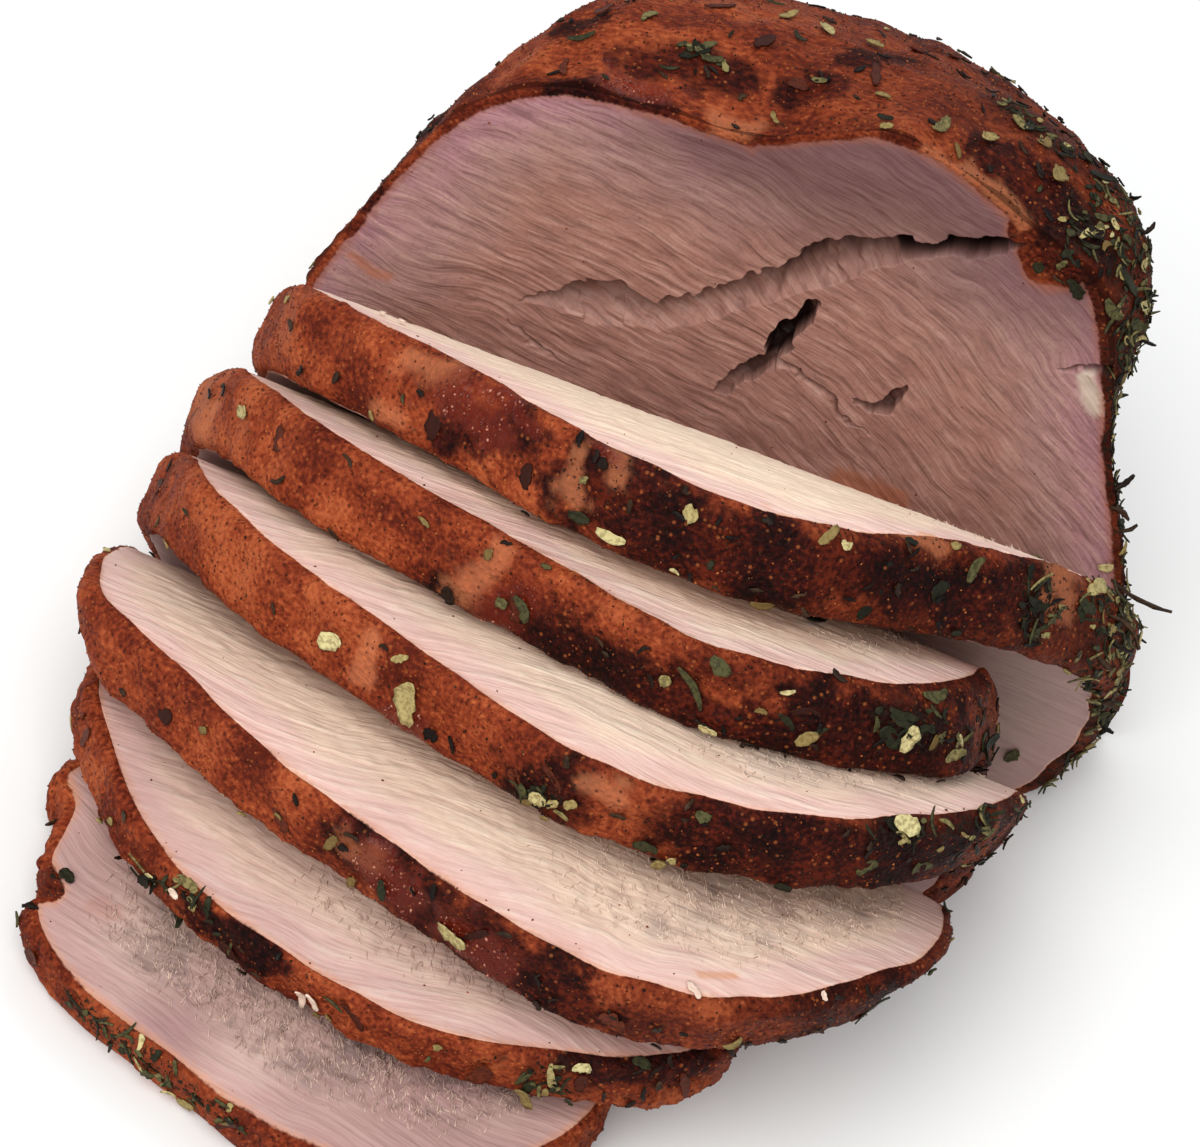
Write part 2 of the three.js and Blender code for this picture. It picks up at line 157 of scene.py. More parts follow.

# The slices: place and yaw of the foot, lean at foot and crown, thickness, the bevels of the left and
# the right end, how much painted shade dims the meat, the height of the crust's grit, where the cut face is
# torn (from and to this far across, and how much), and the rear face's outline
SLICES = [
    {
        "name": "slice_1", "x": -7, "y": -26.5, "yaw": -7, "lean": (8, 73), "twist": 0, "sink": 0,
        "thick": 10.6, "bevel": (0, 0),
        "painted_dimness": 0.0, "grit": 0.18, "torn": (20, 45, 0.3),
        "outline": [
            (44, -8), (53, 0), (57, 13), (57.5, 31), (53, 48), (45, 61), (35, 70), (24, 80), (10, 84),
            (-8, 81), (-23, 73.5), (-37, 66), (-46, 57), (-51, 40), (-52, 22), (-50, 6), (-42, -8),
            (0, -9),
        ],
    },
    {
        "name": "slice_2", "x": -10, "y": -38, "yaw": -8, "lean": (11.5, 78), "twist": 0.02,
        "sink": 0, "thick": 10, "bevel": (0, -4),
        "painted_dimness": 0.0, "grit": 0.18, "torn": (18, 34, 0.4),
        "outline": [
            (38, -8), (44, 0), (45.5, 13), (45, 29), (44.5, 43), (43, 55), (38, 64.5), (27, 71.5),
            (14, 74), (-4, 70), (-22, 65.5), (-36, 59), (-47, 47), (-53, 32), (-56.5, 16), (-54, 2),
            (-44, -7), (0, -9),
        ],
    },
    {
        "name": "slice_3", "x": -7.5, "y": -50.1, "yaw": -9, "lean": (15, 88), "twist": 0, "sink": 0,
        "thick": 9.9, "bevel": (0, 4.5),
        "painted_dimness": 0.14, "grit": 0.2, "torn": (8, 26, 0.7),
        "outline": [
            (42, -8), (48, 4), (50, 18), (50, 34), (45.5, 50), (35, 61), (22, 67), (6, 69),
            (-9, 65.5), (-24, 60.5), (-38, 54.5), (-50, 44), (-56.5, 31), (-60, 18), (-58, 5),
            (-47, -7), (0, -9),
        ],
    },
    {
        "name": "slice_4", "x": -14.5, "y": -60.7, "yaw": -10, "lean": (33, 92), "twist": 0.05,
        "sink": 0, "thick": 9, "bevel": (2.5, 4.5),
        "painted_dimness": 0.2, "grit": 0.2, "torn": (6, 24, 1.0),
        "outline": [
            (42, -2), (49, 7), (53, 22), (52, 36), (46, 47), (37, 55.5), (24, 60), (10, 60),
            (-8, 57), (-24, 53), (-38, 46.5), (-48, 41), (-53, 30), (-54.5, 14), (-47, 0), (0, -3),
        ],
    },
    {
        "name": "slice_5", "x": -20, "y": -74.9, "yaw": -17, "lean": (45, 100), "twist": 0.05,
        "sink": 0, "thick": 7.2, "bevel": (0, 0),
        "painted_dimness": 0.5, "grit": 0.34, "torn": (-12, 14, 0.9),
        "outline": [
            (32, -5), (39, 8), (41, 22), (37, 31), (27, 38), (14, 43.5), (0, 44.5), (-14, 43.5),
            (-25, 40), (-33.5, 34), (-39.5, 28), (-44, 21), (-44, 10), (-36, -4), (0, -8),
        ],
    },
    {
        "name": "slice_6", "x": -22, "y": -87, "yaw": -23.5, "lean": (77, 101.5), "twist": 0,
        "sink": 0.9, "thick": 7.4, "bevel": (0, 0),
        "painted_dimness": 0.95, "grit": 0.38, "torn": (-34, -14, 1.7),
        "outline": [
            (25, 4), (32, 12), (31, 24), (23, 34), (8, 39.5), (-9, 39.5), (-20, 39), (-27, 37),
            (-31.5, 33.5), (-30, 31), (-34, 28.5), (-36, 24), (-37.5, 20.5), (-41, 17.5), (-39, 11),
            (-29, 5), (0, 2),
        ],
    },
]
# How far out the bevels reach, and the height of a slice's middle as a share of its own
BEVEL_REACH = 50
MIDDLE_HEIGHT = 0.42
# How far out the cut faces and the crust between them go
RIM_SHARE = 0.96
CRUST_SHARE = 1.006
# The height of the crust's swells and crags, and the radii that they are taken against
SWELL = 0.7
CRAG = 0.45
BLOCK_RADIUS = 50
SLICE_RADIUS = 55
# The seed of the block's crust, and of the first slice's: each next slice has one more
BLOCK_SEED = 1
FIRST_SEED = 2
# Layers of noise for the slices, as for the block
SLICE_BENDS = [(22, 3.0, 5), (6, 0.5, 9)]
SLICE_STRANDS = [((7, 0.9, 3), 0.06, 0), ((12, 2.6, 4), 0.1, 1)]
SLICE_BUMPS = [(1.5, 0.05, 2), (0.8, 0.04, 3)]
SLICE_TUFTS = [((3.2, 1.1, 3), 1.0, 6), ((1.6, 0.6, 3), 0.7, 7)]
SLICE_SHADE = [(9, 0.25, 40)]
TUFT_ENDS = [(3, 1.2, 4)]
SLICE_RUN = -6
# Distances from the crust, or from the floor, over which the relief sets in
FROM_RIM = (0.4, 2.5)
FROM_FLOOR = (0.2, 2.0)
BLOCK_FROM_FLOOR = (0.1, 1.5)
CRUST_FROM_FLOOR = (0.1, 2.0)
TORN_FROM_RIM = (5.0, 9.0)
TUFT_HEIGHT = 0.15
# Length and width of the larger herb flakes
NEEDLE = (6.5, 1.5)
LEAF = (4.4, 2.6)
FLAKES_TO_THE_RIGHT = 1.7
# Their number and seed, from and to where they go round the outline, and how far over the crust: in mm
# on the block, and as a share of the thickness on a slice, whose seed is one more for each
BLOCK_FLAKES = (36, 11, (0.1, 0.62), (3, 40))
SLICE_FLAKES = (7, 22, (0.16, 0.66), 0.22)
LOWEST_LARGE_FLAKE = 3
# The share of such a flake that is shown as herb, and from where to the right it is green
SHOWN_SHARE = 0.66
GREEN_FROM = 22

# How finely the skins are divided, how much their rings crowd towards the rim and how square the
# crust's section is
BLOCK_SIDES = 640
BLOCK_FACE_RINGS = 92
BLOCK_ROWS = 92
SLICE_SIDES = 520
REAR_RINGS = 62
FRONT_RINGS = 20
CRUST_ROWS = 24
ROW_CROWDING = 1.15
RING_CROWDING = 1.25
CRUST_ROUNDING = 5

# The crust's lumps and grit: sizes and heights, and how much longer than wide the block's streaks are
LUMP_SIZE = 5.0
LUMP_HEIGHT = 0.24
GRIT_SIZE = 1.5
BLOCK_GRIT = 0.17
CRUST_STREAK = 1.8
LOWEST_FLAKE = 1.2

# Painted shade on the cut faces' torn parts: in broad clouds, between tufts, and at most
CLOUD_SHADE = 0.4
TUFT_SHADE = 0.3
DEEPEST_GAP_SHADE = 0.66
# The way that the torn fibres lie, and how far they stray from it, in radians
COMB = (-0.19, 1.0, 0.0)
COMB_SPREAD = 0.45

# Marks on the skins: the radius in mm, and the line that each runs along in the photo's pixels
MARKS = {
    "wet": [
        (2.8, (452, 398), (478, 402), (498, 406)), (1.8, (482, 425), (505, 436)),
        (1.0, (520, 418), (534, 430)), (3.0, (498, 618), (520, 600)),
        (1.0, (600, 452), (612, 458)), (3.6, (378, 868), (395, 890)),
        (3.0, (455, 930), (500, 965)), (2.2, (622, 84), (660, 96)), (2.4, (395, 720), (415, 735)),
    ],
    "dark": [
        (3.0, (455, 425), (520, 430)), (1.6, (560, 470), (574, 480)),
        (6.0, (600, 480), (640, 515), (700, 545), (800, 570)),
        (4.0, (820, 560), (950, 600), (1030, 590)), (2.2, (440, 590), (455, 600)),
        (5.0, (500, 640), (560, 650), (650, 700), (760, 745)),
        (5.0, (820, 720), (880, 745), (960, 745)), (4.5, (420, 740), (500, 790), (560, 800)),
        (6.0, (700, 830), (800, 860), (880, 865), (960, 840)),
        (6.0, (372, 850), (400, 880), (440, 930), (480, 950), (560, 1000)),
        (3.0, (200, 915), (260, 960)), (4.0, (600, 1060), (690, 1060)),
        (2.6, (560, 90), (610, 110), (660, 110)), (3.0, (640, 70), (700, 60), (745, 80)),
        (3.0, (790, 95), (830, 85)), (2.0, (560, 30), (600, 20)), (2.2, (850, 60), (900, 60)),
        (5.0, (1000, 170), (1060, 200), (1090, 260)), (3.0, (440, 115), (400, 160), (370, 200)),
    ],
    "pale": [
        (1.8, (410, 358), (445, 370)), (1.3, (376, 412), (392, 420)),
        (1.1, (578, 456), (574, 500)), (1.1, (618, 455), (612, 480)),
        (1.8, (455, 596), (500, 560)), (1.5, (372, 640), (364, 676)),
        (1.6, (348, 850), (372, 862)), (2.2, (1050, 552), (1058, 580), (1064, 608)),
        (3.0, (203, 392), (206, 420), (205, 446)), (1.7, (722, 124), (752, 130)),
        (1.1, (930, 150), (985, 182), (1022, 222)), (1.6, (905, 532), (940, 545)),
        (1.6, (600, 790), (615, 800)),
    ],
    "sinew": [
        (1.2, (1084, 378), (1092, 394), (1098, 408)),
    ],
    "stain": [
        (0.8, (352, 256), (373, 273), (388, 276)), (2.0, (798, 528), (812, 536)),
        (1.4, (930, 540), (960, 556)), (1.2, (100, 905), (112, 912)),
        (1.5, (840, 478), (900, 500)), (0.5, (700, 975), (735, 976)),
    ],
    "herb": [
        (6.5, (1075, 560), (1110, 600), (1105, 660)), (5.0, (1100, 680), (1085, 740), (1050, 775)),
        (2.0, (895, 720), (940, 735), (1000, 755)), (2.5, (1030, 600), (1040, 610)),
        (8.0, (1120, 230), (1140, 290), (1130, 350)), (5.0, (1112, 380), (1115, 440), (1118, 520)),
        (3.0, (1010, 110), (1050, 140)), (1.3, (690, 50), (720, 60)),
        (1.2, (140, 870), (200, 900), (230, 940)), (1.6, (60, 875), (75, 890)),
        (1.7, (70, 1000), (160, 1070), (230, 1120)), (1.8, (880, 830), (930, 830), (990, 820)),
        (3.0, (540, 1080), (560, 1100)), (1.2, (530, 795), (560, 800)),
    ],
}

# How far the marks reach, as shares of their radii, and the crust's darkness on the block and on the
# slices: how strong it is to the right, and the least. That darkness is partly the crust's own deeper
# browning and partly painted shade on the right, away from the light.
MARK_ENDS = (1.35, 0.55)
BLOCK_DARK = (0.8, 0.1)
SLICE_DARK = (1.0, 0.0)
# The places across, from the middle to the right, between which that and the herb dust set in
DARK_TO_THE_RIGHT = (-14, 34)
HERBS_TO_THE_RIGHT = (40, 60)
# How strong both are, and the patches all over the skins, each with how much it wanders
DARK_LEVEL, DARK_WANDER = 0.62, 0.3
HERB_LEVEL, HERB_WANDER = 0.5, 0.25
PATCH_LEVEL, PATCH_WANDER = 0.5, 0.36
# How strong the dark marks are
MARK_DARKNESS = 1.1

# Herb flakes that stand out, in the photo's pixels: both ends and the width in mm
GREEN_FLAKES = [
    (571, 512, 592, 520, 1.4), (519, 594, 530, 621, 1.2), (497, 601, 509, 604, 1.3),
    (902, 541, 916, 545, 0.7), (979, 554, 966, 581, 1.1), (1029, 554, 1045, 560, 0.8),
    (805, 625, 825, 623, 1.1), (857, 615, 870, 604, 1.2), (684, 663, 706, 707, 0.9),
    (660, 676, 671, 683, 1.2), (711, 657, 729, 675, 1.6), (779, 709, 795, 729, 0.8),
    (886, 709, 915, 720, 1.0), (889, 714, 911, 727, 0.9), (922, 700, 945, 697, 1.3),
    (943, 759, 960, 749, 1.2), (990, 729, 977, 763, 1.4), (1005, 760, 1020, 748, 1.3),
    (1024, 598, 1040, 606, 1.0), (1028, 610, 1046, 603, 0.9), (1078, 602, 1092, 612, 1.5),
    (138, 876, 162, 887, 1.3), (178, 876, 200, 895, 1.3), (381, 879, 385, 898, 1.0),
    (634, 840, 659, 848, 1.5), (695, 813, 710, 818, 1.2), (775, 882, 792, 886, 1.2),
    (569, 44, 597, 37, 0.8), (690, 46, 706, 58, 1.2), (700, 60, 722, 62, 1.0),
    (694, 52, 716, 44, 0.9), (792, 35, 804, 45, 1.0), (812, 82, 827, 85, 0.8),
    (932, 136, 949, 123, 1.4), (1011, 120, 1024, 132, 1.5), (1022, 136, 1034, 124, 1.1),
    (1087, 176, 1113, 184, 1.3), (1071, 277, 1083, 297, 1.4), (1094, 240, 1100, 226, 1.2),
    (1034, 262, 1044, 268, 1.4), (877, 120, 893, 122, 0.9), (1104, 300, 1118, 318, 1.4),
    (1118, 270, 1130, 290, 1.4), (1125, 320, 1140, 330, 1.5), (60, 872, 72, 884, 1.3),
    (170, 912, 186, 922, 1.1), (632, 1060, 650, 1068, 1.2), (885, 822, 900, 834, 1.3),
    (640, 20, 656, 14, 0.9),
]
STRAW_FLAKES = [
    (241, 408, 252, 418, 1.5), (598, 530, 626, 543, 1.2), (686, 508, 700, 518, 1.8),
    (818, 545, 836, 529, 1.1), (840, 543, 850, 547, 1.0), (749, 600, 774, 606, 0.9),
    (795, 741, 818, 732, 1.5), (700, 725, 720, 731, 0.9), (755, 708, 768, 710, 0.6),
    (780, 692, 796, 690, 0.5), (915, 725, 900, 750, 1.7), (1086, 594, 1104, 581, 1.7),
    (1098, 566, 1114, 566, 1.1), (323, 640, 343, 637, 2.2), (392, 660, 409, 657, 0.8),
    (413, 677, 407, 721, 2.7), (329, 845, 339, 834, 1.1), (531, 793, 548, 799, 1.6),
    (565, 803, 578, 801, 1.1), (438, 926, 471, 943, 2.1), (652, 861, 671, 857, 1.4),
    (892, 819, 918, 831, 1.9), (722, 1044, 742, 1038, 1.3), (742, 1052, 765, 1040, 0.9),
    (573, 1062, 592, 1066, 1.2), (545, 1063, 556, 1094, 0.9), (513, 1088, 536, 1097, 1.5),
    (777, 20, 796, 18, 1.3), (818, 24, 836, 41, 1.4), (866, 43, 880, 51, 2.0),
    (880, 128, 893, 129, 0.9), (979, 142, 996, 139, 1.4), (955, 144, 958, 160, 0.6),
    (1036, 148, 1052, 144, 1.3), (1048, 178, 1064, 174, 2.0), (1077, 238, 1105, 227, 0.9),
    (1134, 270, 1146, 262, 1.3), (1138, 300, 1148, 312, 1.4), (180, 1098, 196, 1106, 1.1),
]
DARK_FLAKES = [
    (478, 71, 537, 47, 1.9), (599, 463, 611, 464, 1.4), (1085, 232, 1102, 240, 1.4),
    (426, 728, 440, 736, 1.6), (648, 862, 660, 866, 0.6), (445, 585, 452, 602, 1.4),
]
# The size of a pixel on the roast, and how much longer than it looks a flake can be
MM_PER_PIXEL = 0.12
LONGEST_FLAKE = 1.5
# Twigs that stick out at the right: where each starts, and how far it goes right and up, in mm
TWIGS = [
    ((1112, 585), 6.5, -3.5), ((1112, 610), 3.5, -3.5), ((1108, 640), 2.6, -1.6),
    ((1113, 455), 1.6, 1.0), ((1114, 490), 2.4, 1.6), ((1113, 505), 2.0, -1.5),
    ((1115, 532), 2.6, 0.4), ((1140, 340), 1.8, -0.6), ((1138, 350), 1.5, -1.5),
    ((1143, 235), 1.5, 1.2), ((1100, 700), 2.2, -0.8), ((1098, 720), 1.6, -1.6),
    ((980, 66), 1.0, 2.2), ((1095, 655), 1.6, -1.8), ((38, 908), -1.6, 0.4),
]
TWIG_WIDTHS = (0.35, 0.65)
# Pale shreds at the edges of the slices, in the photo's pixels: both ends and the width in mm
SHREDS = [
    (688, 983, 699, 1001, 0.9), (820, 992, 824, 1002, 0.6), (300, 985, 306, 1003, 0.9),
    (312, 990, 318, 1010, 1.0), (1026, 788, 1042, 800, 1.5),
    (172, 884, 178, 896, 0.9), (398, 322, 404, 326, 0.7),
    (380, 314, 384, 318, 0.6), (1042, 790, 1036, 803, 1.0),
]


def srgb(red, green, blue):
    """A colour given as 0 to 255 on the screen, in linear light, with alpha."""
    shares = np.array([red, green, blue]) / 255
    linear = np.where(shares <= 0.04045, shares / 12.92, ((shares + 0.055) / 1.055) ** 2.4)
    return (*linear.tolist(), 1.0)


def smooth(values, low, high):
    """0 at low and 1 at high, with an even start and end. low may be the larger."""
    share = np.clip((values - low) / (high - low), 0, 1)
    return share * share * (3 - 2 * share)


# Noise


def lattice(cell, seed):
    """A repeatable value between -1 and 1 for each whole-numbered cell."""
    mask = 0xFFFFFFFF
    mixed = (cell[:, 0] * 374761393 + cell[:, 1] * 668265263 + cell[:, 2] * 1274126177) & mask
    mixed = (mixed + seed * 362437) & mask
    mixed = ((mixed ^ (mixed >> 13)) * 1103515245) & mask
    mixed = ((mixed ^ (mixed >> 16)) * 69069) & mask
    return ((mixed >> 8) & 0xFFFF) / 32767.5 - 1


def noise(points, size, seed=0):
    """Smooth noise between about -1 and 1, with features of the given size."""
    scaled = points / size
    cell = np.floor(scaled)
    part = scaled - cell
    ease = part**3 * (part * (part * 6 - 15) + 10)
    cell = cell.astype(np.int64)
    total = np.zeros(len(points))
    for corner in np.ndindex(2, 2, 2):
        weight = np.prod(np.where(np.array(corner) == 1, ease, 1 - ease), axis=1)
        total += weight * lattice(cell + np.array(corner), seed)
    return total


def fractal(points, size, octaves=3, seed=0):
    """Noise of the given size with finer noise on it, each half as large and as strong."""
    total = 0
    for octave in range(octaves):
        total = total + noise(points, size / 2**octave, seed + 17 * octave) / 2**octave
    return total


def layered(points, layers, seed=0):
    """The sum of layers of noise, each with its size, height and own seed."""
    return sum(noise(points / size, 1, seed + own) * height for size, height, own in layers)


def flat(plane):
    """2-D points as 3-D ones, for the noise."""
    return np.c_[plane, np.zeros(len(plane))]


# The main shapes, as in the solids


def closed_outline(points, count):
    """count points at equal distances along the smooth closed curve through the given ones."""
    p = np.array(points, float)
    before, after, beyond = np.roll(p, 1, 0), np.roll(p, -1, 0), np.roll(p, -2, 0)
    t = np.linspace(0, 1, 60, endpoint=False)[:, None, None]
    start, end = 0.5 * (after - before), 0.5 * (beyond - p)
    curve = (
        p
        + start * t
        + (3 * (after - p) - 2 * start - end) * t**2
        + (2 * (p - after) + start + end) * t**3
    )
    curve = curve.transpose(1, 0, 2).reshape(-1, 2)
    curve = np.vstack([curve, curve[:1]])
    along = np.concatenate([[0], np.cumsum(np.hypot(*np.diff(curve, axis=0).T))])
    wanted = np.linspace(0, along[-1], count, endpoint=False)
    return np.stack([np.interp(wanted, along, curve[:, i]) for i in range(2)], 1)


def block_outline(face, body, depth):
    """Between the outlines of the cut face and of the body behind it."""
    return face + (body - face) * smooth(depth, 0, BODY_DEPTH)


def unevenness(x, y, z, seed):
    a = np.sin(0.11 * x + 1.7 * seed) * np.cos(0.13 * z + 0.9 * seed)
    b = np.sin(0.23 * y + 0.19 * z + 2.3 * seed)
    return 0.6 * a + 0.4 * b


def crags(x, y, z, seed):
    a = np.sin(0.61 * x + 0.37 * z + seed)
    b = np.sin(0.53 * y - 0.47 * z + 2 * seed)
    return 0.5 * a + 0.5 * b * np.cos(0.41 * x + seed)


def roughness_at(x, y, z, seed):
    return SWELL * unevenness(x, y, z, seed) + CRAG * crags(x, y, z, seed)


def block_points(outline, share, depth):
    """The block's surface over the outline, a share of the way out and at a depth."""
    x, z = outline.T
    past = max(0, depth - RIM_DEPTH) / (BLOCK_DEPTH - RIM_DEPTH)
    dome = math.sqrt(max(0, 1 - past * past))
    across, up = x - BLOCK_CENTRE[0], z - BLOCK_CENTRE[1]
    from_shoulder = np.arctan2(up, across) - math.radians(SHOULDER_ANGLE)
    sharpness = np.where(from_shoulder < 0, 22, 3)
    shoulder = np.maximum(0, np.cos(from_shoulder)) ** sharpness
    swell = 1 + SHOULDER_SWELL * shoulder * math.sin(math.pi * min(1, depth / SHOULDER_DEPTH))
    taper = 1 - SIDE_TAPER * (1 - shoulder) * (depth / BLOCK_DEPTH)
    rough = roughness_at(x, depth, z, BLOCK_SEED) if depth > 0 else 0
    reach = share * dome * swell * (1 + rough / BLOCK_RADIUS)
    right = BLOCK_CENTRE[0] + across * reach * taper
    return np.stack([right, np.full(len(x), depth), BLOCK_CENTRE[1] + up * reach], 1)


def crown_height(piece):
    return max(up for _, up in piece["outline"])


def slice_points(piece, across, up, out):
    """Points of a bent slice: across, up along the bend, and out from its middle to the block."""
    foot = np.radians(piece["lean"][0] + piece["twist"] * across)
    bend = math.radians(piece["lean"][1] - piece["lean"][0]) / crown_height(piece)
    lean = foot + bend * up
    forward = -(np.cos(foot) - np.cos(lean)) / bend + out * np.cos(lean)
    lift = piece["thick"] / 2 * math.sin(math.radians(piece["lean"][0])) - piece["sink"]
    height = (np.sin(lean) - np.sin(foot)) / bend + out * np.sin(lean) + lift
    amount = np.where(across < 0, piece["bevel"][0], piece["bevel"][1])
    towards_end = (across / BEVEL_REACH) ** 2
    bevelled = across - np.sign(across) * amount * towards_end * (0.5 - out / piece["thick"])
    return np.stack([bevelled, forward, height], 1)


def slice_plane(piece, outline, share, out, seed):
    """Across and up of the outline, a share of the way out from the slice's middle."""
    middle = MIDDLE_HEIGHT * crown_height(piece)
    u, v = outline.T
    rough = roughness_at(u, v, out, seed) * smooth(share, 0.85, RIM_SHARE)
    reach = share * (1 + rough / SLICE_RADIUS)
    return np.stack([u * reach, middle + (v - middle) * reach], 1)


def placed(points, at, yaw):
    """Points of a piece's own frame, in the frame of the whole."""
    turn = math.radians(yaw)
    x = points[:, 0] * math.cos(turn) - points[:, 1] * math.sin(turn)
    y = points[:, 0] * math.sin(turn) + points[:, 1] * math.cos(turn)
    return np.stack([x + at[0] + CENTRE_SHIFT[0], y + at[1] + CENTRE_SHIFT[1], points[:, 2]], 1)


def distance_to(points, line):
    """Distance from points to a line of points, how far along it in steps, and the nearest step."""
    best = np.full(len(points), 1e9)
    where = np.zeros(len(points))
    for i in range(len(line) - 1):
        start, step = line[i], line[i + 1] - line[i]
        t = np.clip((points - start) @ step / max(step @ step, 1e-9), 0, 1)
        away = np.linalg.norm(points - start - t[:, None] * step, axis=1)
        nearer = away < best
        best = np.where(nearer, away, best)
        where = np.where(nearer, i + t, where)
    return best, where


# Meshes. They are in millimetres until make_object.


def ring_skin(name, first, rings, last, values):
    """A closed skin of rings of points between two end points, with values for each point."""
    sides = len(rings[0])
    points = np.vstack([first, *rings, last])
    side = np.arange(sides)
    after = (side + 1) % sides
    faces = [(0, 1 + a, 1 + b) for a, b in zip(side.tolist(), after.tolist())]
    for ring in range(len(rings) - 1):
        low, high = 1 + ring * sides, 1 + (ring + 1) * sides
        faces += np.stack([low + side, high + side, high + after, low + after], 1).tolist()
    end, start = len(points) - 1, 1 + (len(rings) - 1) * sides
    faces += [(end, start + b, start + a) for a, b in zip(side.tolist(), after.tolist())]
    mesh = bpy.data.meshes.new(name)
    mesh.from_pydata(points.tolist(), [], faces)
    set_fields(mesh, **values)
    return mesh


def trim_below(mesh):
    """Cuts off what lies below the surface that it rests on, and closes the mesh with a flat face."""
    bm = bmesh.new()
    bm.from_mesh(mesh)
    everything = bm.verts[:] + bm.edges[:] + bm.faces[:]
    bmesh.ops.bisect_plane(
        bm, geom=everything, dist=1e-4, plane_co=(0, 0, 0), plane_no=(0, 0, 1), clear_inner=True
    )
    open_edges = [edge for edge in bm.edges if edge.is_boundary]
    filled = bmesh.ops.holes_fill(bm, edges=open_edges, sides=0)["faces"]
    bmesh.ops.triangulate(bm, faces=filled)
    bmesh.ops.recalc_face_normals(bm, faces=bm.faces)
    bm.to_mesh(mesh)
    bm.free()


def refine_near(mesh, near, times):
    """Halves the edges whose both ends satisfy near, a function of an array of points."""
    for _ in range(times):
        bm = bmesh.new()
        bm.from_mesh(mesh)
        flags = near(points_of(mesh))
        edges = [e for e in bm.edges if flags[e.verts[0].index] and flags[e.verts[1].index]]
        bmesh.ops.subdivide_edges(bm, edges=edges, cuts=1, use_grid_fill=True)
        bm.to_mesh(mesh)
        bm.free()


def read(source, key, width, kind=np.float32):
    """One number or vector of the given width for each item of a part of a mesh."""
    array = np.empty(len(source) * width, kind)
    source.foreach_get(key, array)
    return array.reshape(-1, width)


def points_of(mesh):
    return read(mesh.vertices, "co", 3).astype(float)


def normals_of(mesh):
    return read(mesh.vertex_normals, "vector", 3).astype(float)


def values_of(mesh, key):
    return read(mesh.attributes[key].data, "value", 1)[:, 0].astype(float)


def vectors_of(mesh, key):
    return read(mesh.attributes[key].data, "vector", 3).astype(float)


def triangles_of(mesh):
    mesh.calc_loop_triangles()
    return read(mesh.loop_triangles, "vertices", 3, np.int32)


def set_points(mesh, points):
    mesh.vertices.foreach_set("co", points.astype(np.float32).ravel())
    mesh.update()


def set_fields(mesh, **fields):
    """Gives the mesh a number or a vector for each point, under each name."""
    for key, array in fields.items():
        kind, part = ("FLOAT", "value") if array.ndim == 1 else ("FLOAT_VECTOR", "vector")
        attribute = mesh.attributes.new(key, kind, "POINT")
        attribute.data.foreach_set(part, array.astype(np.float32).ravel())


def make_object(mesh, material, slot):
    """The piece of a mesh, in metres, riding on the roast."""
    set_points(mesh, points_of(mesh) * MM)
    piece = bpy.data.objects.new(mesh.name, mesh)
    bpy.context.scene.collection.objects.link(piece)
    mesh.materials.append(material)
    mesh.shade_smooth()
    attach(piece, "root")
    return piece


# Shader building


